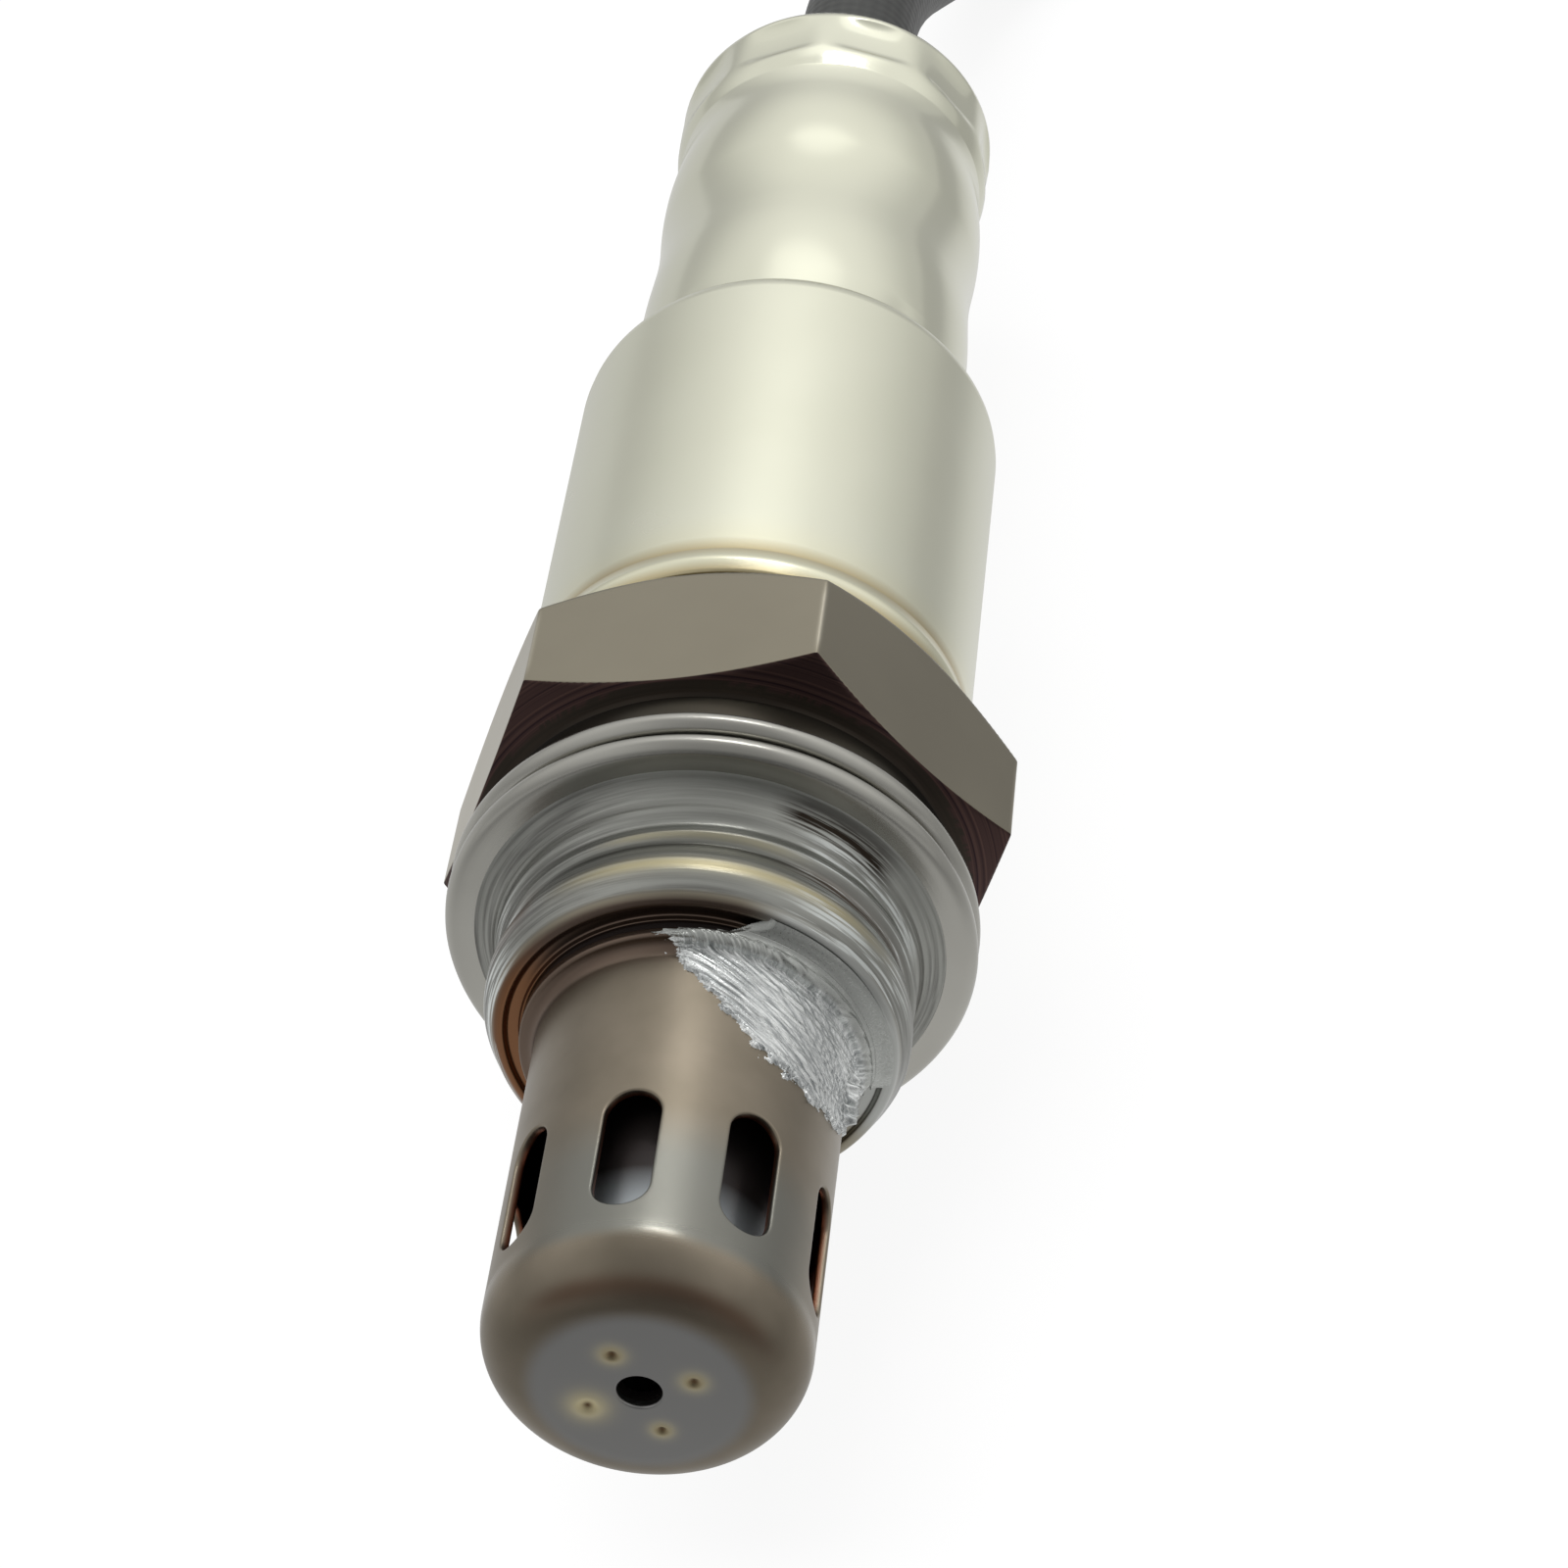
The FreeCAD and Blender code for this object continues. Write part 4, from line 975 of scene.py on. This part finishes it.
def followed(route):
    """Points in metres along the NURBS line of the route, which is a curve of order three that
    starts and ends at its first and last point."""
    curve = bpy.data.curves.new("lead_route", "CURVE")
    curve.dimensions = "3D"
    curve.resolution_u = 14
    spline = curve.splines.new("NURBS")
    spline.points.add(len(route) - 1)
    for point, place in zip(spline.points, route):
        point.co = [MM * value for value in place] + [1.0]
    spline.order_u = 3
    spline.use_endpoint_u = True
    holder = stand("lead_route", curve)
    line = bpy.data.meshes.new_from_object(holder)
    points = np.empty(3 * len(line.vertices))
    line.vertices.foreach_get("co", points)
    bpy.data.objects.remove(holder)
    bpy.data.curves.remove(curve)
    bpy.data.meshes.remove(line)
    return points.reshape(-1, 3)


def sleeve_tube(line, radius, sides):
    """Tube along the line: rings about the tangent, between its level normal and the one that
    stands on both; the end rings shrink to a rounded edge and a point."""
    heading = headings(line)
    level = np.cross(heading, [0, 0, 1])
    level /= np.linalg.norm(level, axis=1)[:, None]
    upright = np.cross(level, heading)
    shrink = np.ones(len(line))
    shrink[[0, -1]] = 0.85
    turn = np.radians(evenly(sides))[:, None]
    ring = level[:, None] * np.cos(turn) + upright[:, None] * np.sin(turn)
    tube = line[:, None] + ring * (radius * shrink)[:, None, None]
    ends = [np.repeat(line[k][None, None], sides, axis=1) for k in (0, -1)]
    return np.concatenate([ends[0], tube, ends[1]])


lead_line = followed(lead_route)
lead_steps = np.linalg.norm(np.diff(lead_line, axis=0), axis=1) / MM
lead_along = np.concatenate([[0, 0], np.cumsum(lead_steps), [lead_steps.sum()]])
lead = skin("lead_in_sleeve", [sleeve_tube(lead_line / MM, LEAD_D / 2, 32)], lead_along)
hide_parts("lead_sleeve", "lead_hank", "lead_tail")


def coated_sleeve():
    """Woven glass sleeve under a thin black silicone coat: the weave shows as crossing spirals,
    the product of two sine waves that climb left and right, in a satin charcoal skin with dust
    in clouds of 2 mm."""
    made, tree, shader, place = blank("silicone_coated_woven_sleeve")
    unrolled = add(tree, "UVMap", {}, uv_map="UVMap")
    unrolled = add(tree, "SeparateXYZ", [unrolled]).node.outputs
    around = add(tree, "Math", [unrolled["X"], 2 * math.pi * WEAVE_STARTS], operation="MULTIPLY")
    weave = 1.0
    for climb in (2 * math.pi / WEAVE_PITCH, -2 * math.pi / WEAVE_PITCH):
        spiral = add(tree, "Math", [unrolled["Y"], climb, around], operation="MULTIPLY_ADD")
        spiral = add(tree, "Math", [spiral], operation="SINE")
        weave = add(tree, "Math", [weave, spiral], operation="MULTIPLY")
    weave = add(tree, "MapRange", [weave, -1.0, 1.0])
    clouds = add(tree, "TexNoise", {"Vector": place, "Scale": 500.0, "Detail": 3.0})
    tint = painted(tree, "222321", (weave, "343532", clouds))
    bump = add(tree, "Bump", {"Height": weave, "Strength": 0.5, "Distance": 0.06 * MM})
    rough = add(tree, "MapRange", [clouds, 0.0, 1.0, 0.4, 0.55])
    feed(shader, {"Base Color": tint, "Normal": bump, "Roughness": rough})
    return made


lead.data.materials.append(coated_sleeve())
plug_names = ["connector_housing", "seal_cover", "wire_seal", "pin_lock", "hank_tie"]
plug_names += ["connector_pin_" + place for place in PLACES]
plug_names += ["plug_wire_" + place for place in PLACES]


# Hank tie: a ladder tie of black weatherproof nylon, drawn round the hank and its tail before
# packing. The moulded strap is satin.
dress(finish("moulded_black_nylon", "171717", "232322", 0.6, 0.38, 0.006), "hank_tie")


# Connector: a four-way sealed plug, moulded in black glass-filled nylon with a fine spark-eroded
# grain. Its pins are tinned, its seal is silicone under a moulded cover, and a lock bar holds
# the pins.
dress(finish("glass_filled_nylon", "191a1b", "26282a", 0.1, 0.45, 0.012), "connector_housing")
dress(finish("moulded_nylon_grey", "4f5254", "5b5e60", 0.1, 0.45, 0.01), "seal_cover")
dress(finish("silicone_seal", "8f3b22", "a3482c", 0.3, 0.5, 0.006), "wire_seal")
dress(finish("moulded_natural_nylon", "d3d0c3", "e0ddd1", 0.15, 0.42, 0.008), "pin_lock")
tinned = finish("tinned_brass_pin", "bdbdb8", "d2d2cd", 0.8, 0.25, 0.002, metallic=1.0)
dress(tinned, *["connector_pin_" + place for place in PLACES])


# Floor and studio: a white paper table with the light behind and above it, as for a catalogue
# picture. The camera sees white; metal mirrors a bright window behind the object, a darker
# horizon and the dark room in front.
FLOOR_REACH = 3.0


def white_paper():
    """Matte white paper. The camera sees it nearly white under any light, with the object's shadow
    kept. For glossy rays it glows instead, with painted shade: metal sees it darker in front of the
    object, under its left side, far to its right and at the table's front corners."""
    made, tree, shader, place = blank("white_paper")
    tree.nodes.remove(shader)
    rays = add(tree, "LightPath", {}).node.outputs
    parts = add(tree, "SeparateXYZ", [place]).node.outputs
    # Painted shade in the glow that metal sees, as a product of steps: axis, from, to, and the light
    # at either end.
    reflected_shade = 1.0
    for axis, *reach in (
        ("Y", -0.085, -0.06, 0.3, 1.0),
        ("Y", -0.045, -0.005, 0.52, 1.0),
        ("Y", 0.02, 0.045, 1.0, 0.9),
        ("X", 0.014, 0.05, 1.0, 0.62),
        ("X", -0.02, -0.008, 0.72, 0.84),
    ):
        step = add(tree, "MapRange", [parts[axis], *reach], interpolation_type="SMOOTHSTEP")
        reflected_shade = add(tree, "Math", [reflected_shade, step], operation="MULTIPLY")
    aside = add(tree, "Math", [parts["X"]], operation="ABSOLUTE")
    aside = add(tree, "MapRange", [aside, 0.05, 0.1])
    ahead = add(tree, "MapRange", [parts["Y"], -0.035, -0.05])
    corner = add(tree, "Math", [aside, ahead], operation="MULTIPLY")
    dimmed = {"Factor": corner, "A": reflected_shade, "B": 0.68}
    dimmed = add(tree, "Mix", dimmed, "Result", data_type="FLOAT")
    level = {"Factor": rays["Is Glossy Ray"], "A": 1.0, "B": dimmed}
    level = add(tree, "Mix", level, "Result", data_type="FLOAT")
    glow = add(tree, "Emission", {"Color": srgb("ffffff"), "Strength": level})
    paper = add(tree, "BsdfDiffuse", {"Color": srgb("fbfbfb")})
    seen = [rays["Is Camera Ray"], 0.9, rays["Is Glossy Ray"]]
    share = add(tree, "Math", seen, operation="MULTIPLY_ADD", use_clamp=True)
    mixed = add(tree, "MixShader", {"Fac": share, 1: paper, 2: glow})
    feed(tree.nodes["Material Output"], {"Surface": mixed})
    return made


floor_mesh = bpy.data.meshes.new("floor")
floor_corners = [(-FLOOR_REACH, -FLOOR_REACH), (FLOOR_REACH, -FLOOR_REACH)]
floor_corners += [(FLOOR_REACH, FLOOR_REACH), (-FLOOR_REACH, FLOOR_REACH)]
floor_mesh.from_pydata([(x, y, FLOOR_Z * MM) for x, y in floor_corners], [], [(0, 1, 2, 3)])
floor_mesh.materials.append(white_paper())
floor = stand("floor", floor_mesh)


def studio_world():
    """Light of the room by direction, as a sum of soft bands: dark in front, brighter behind,
    brightest in a window band high behind that fades to the sides; the camera itself sees
    white."""
    world = bpy.data.worlds.new("studio")
    world.use_nodes = True
    tree = world.node_tree
    seen = add(tree, "LightPath", {}, "Is Camera Ray")
    place = add(tree, "TexCoord", {}, "Generated")
    parts = add(tree, "SeparateXYZ", [place]).node.outputs
    aside = add(tree, "Math", [parts["X"], 0.08], operation="SUBTRACT")
    aside = add(tree, "Math", [aside], operation="ABSOLUTE")
    # Each band: direction, from, to, and the light at either end.
    bands = (
        (parts["Y"], -0.55, 0.5, 0.0, 1.0),
        (parts["Z"], 0.0, 0.6, 0.1, 0.4),
        (parts["Z"], 0.05, 0.6, 0.6, 1.0),
        (parts["Z"], 0.8, 0.96, 1.0, 0.5),
        (parts["X"], -0.55, -0.1, 0.88, 1.0),
        (aside, 0.22, 0.44, 1.0, 0.0),
        (parts["Z"], 0.605, 0.66, 0.0, 0.3),
        (aside, 0.2, 0.6, 0.0, 0.3),
    )
    behind, ahead, back, ceiling, left, beside, glass, around = [
        add(tree, "MapRange", band, interpolation_type="SMOOTHSTEP") for band in bands
    ]
    ahead = add(tree, "Math", [ahead, around], operation="ADD")
    back = add(tree, "Math", [back, left], operation="MULTIPLY")
    pane = add(tree, "Math", [beside, glass, back], operation="MULTIPLY_ADD")
    pane = add(tree, "Math", [pane, ceiling], operation="MULTIPLY")
    lit = add(tree, "Mix", {"Factor": behind, "A": ahead, "B": pane}, "Result", data_type="FLOAT")
    level = add(tree, "Mix", {"Factor": seen, "A": lit, "B": 1.0}, "Result", data_type="FLOAT")
    feed(tree.nodes["Background"], {"Color": srgb("ffffff"), "Strength": level})
    return world


def softbox(name, place, aim, width, height, power):
    """Rectangular area lamp turned to its aim, in metres and watts."""
    lamp = bpy.data.lights.new(name, "AREA")
    lamp.shape = "RECTANGLE"
    lamp.size = width
    lamp.size_y = height
    lamp.energy = power
    holder = stand(name, lamp)
    holder.location = place
    holder.rotation_euler = (Vector(aim) - Vector(place)).to_track_quat("-Z", "Y").to_euler()
    holder.visible_camera = False
    return holder


bpy.context.scene.world = studio_world()
softbox("window", (0.06, 0.27, 0.42), (0, 0, 0), 0.16, 0.05, 0.22)
softbox("top", (-0.3, 0.05, 0.7), (0, 0.01, 0), 0.7, 0.7, 6.0).visible_glossy = False


# Camera: a long lens above the tip, turned with the sensor about its axis.
EYE = Vector((26.40, -140.03, 129.16)) * MM
AHEAD = Vector((-0.12270, 0.74674, -0.65370)).normalized()
SIDE = Vector((0.99242, 0.09621, -0.07636)).normalized()
camera_data = bpy.data.cameras.new("camera")
camera_data.sensor_width = 36.0
camera_data.lens = 102.49
camera_data.clip_start = 0.01
camera_data.clip_end = 20
camera = stand("camera", camera_data)
rise = SIDE.cross(AHEAD).normalized()
side = AHEAD.cross(rise).normalized()
camera.matrix_world = Matrix.Translation(EYE) @ Matrix((side, rise, -AHEAD)).transposed().to_4x4()
bpy.context.scene.camera = camera
bpy.context.scene.view_settings.view_transform = "Standard"

bpy.context.view_layer.update()
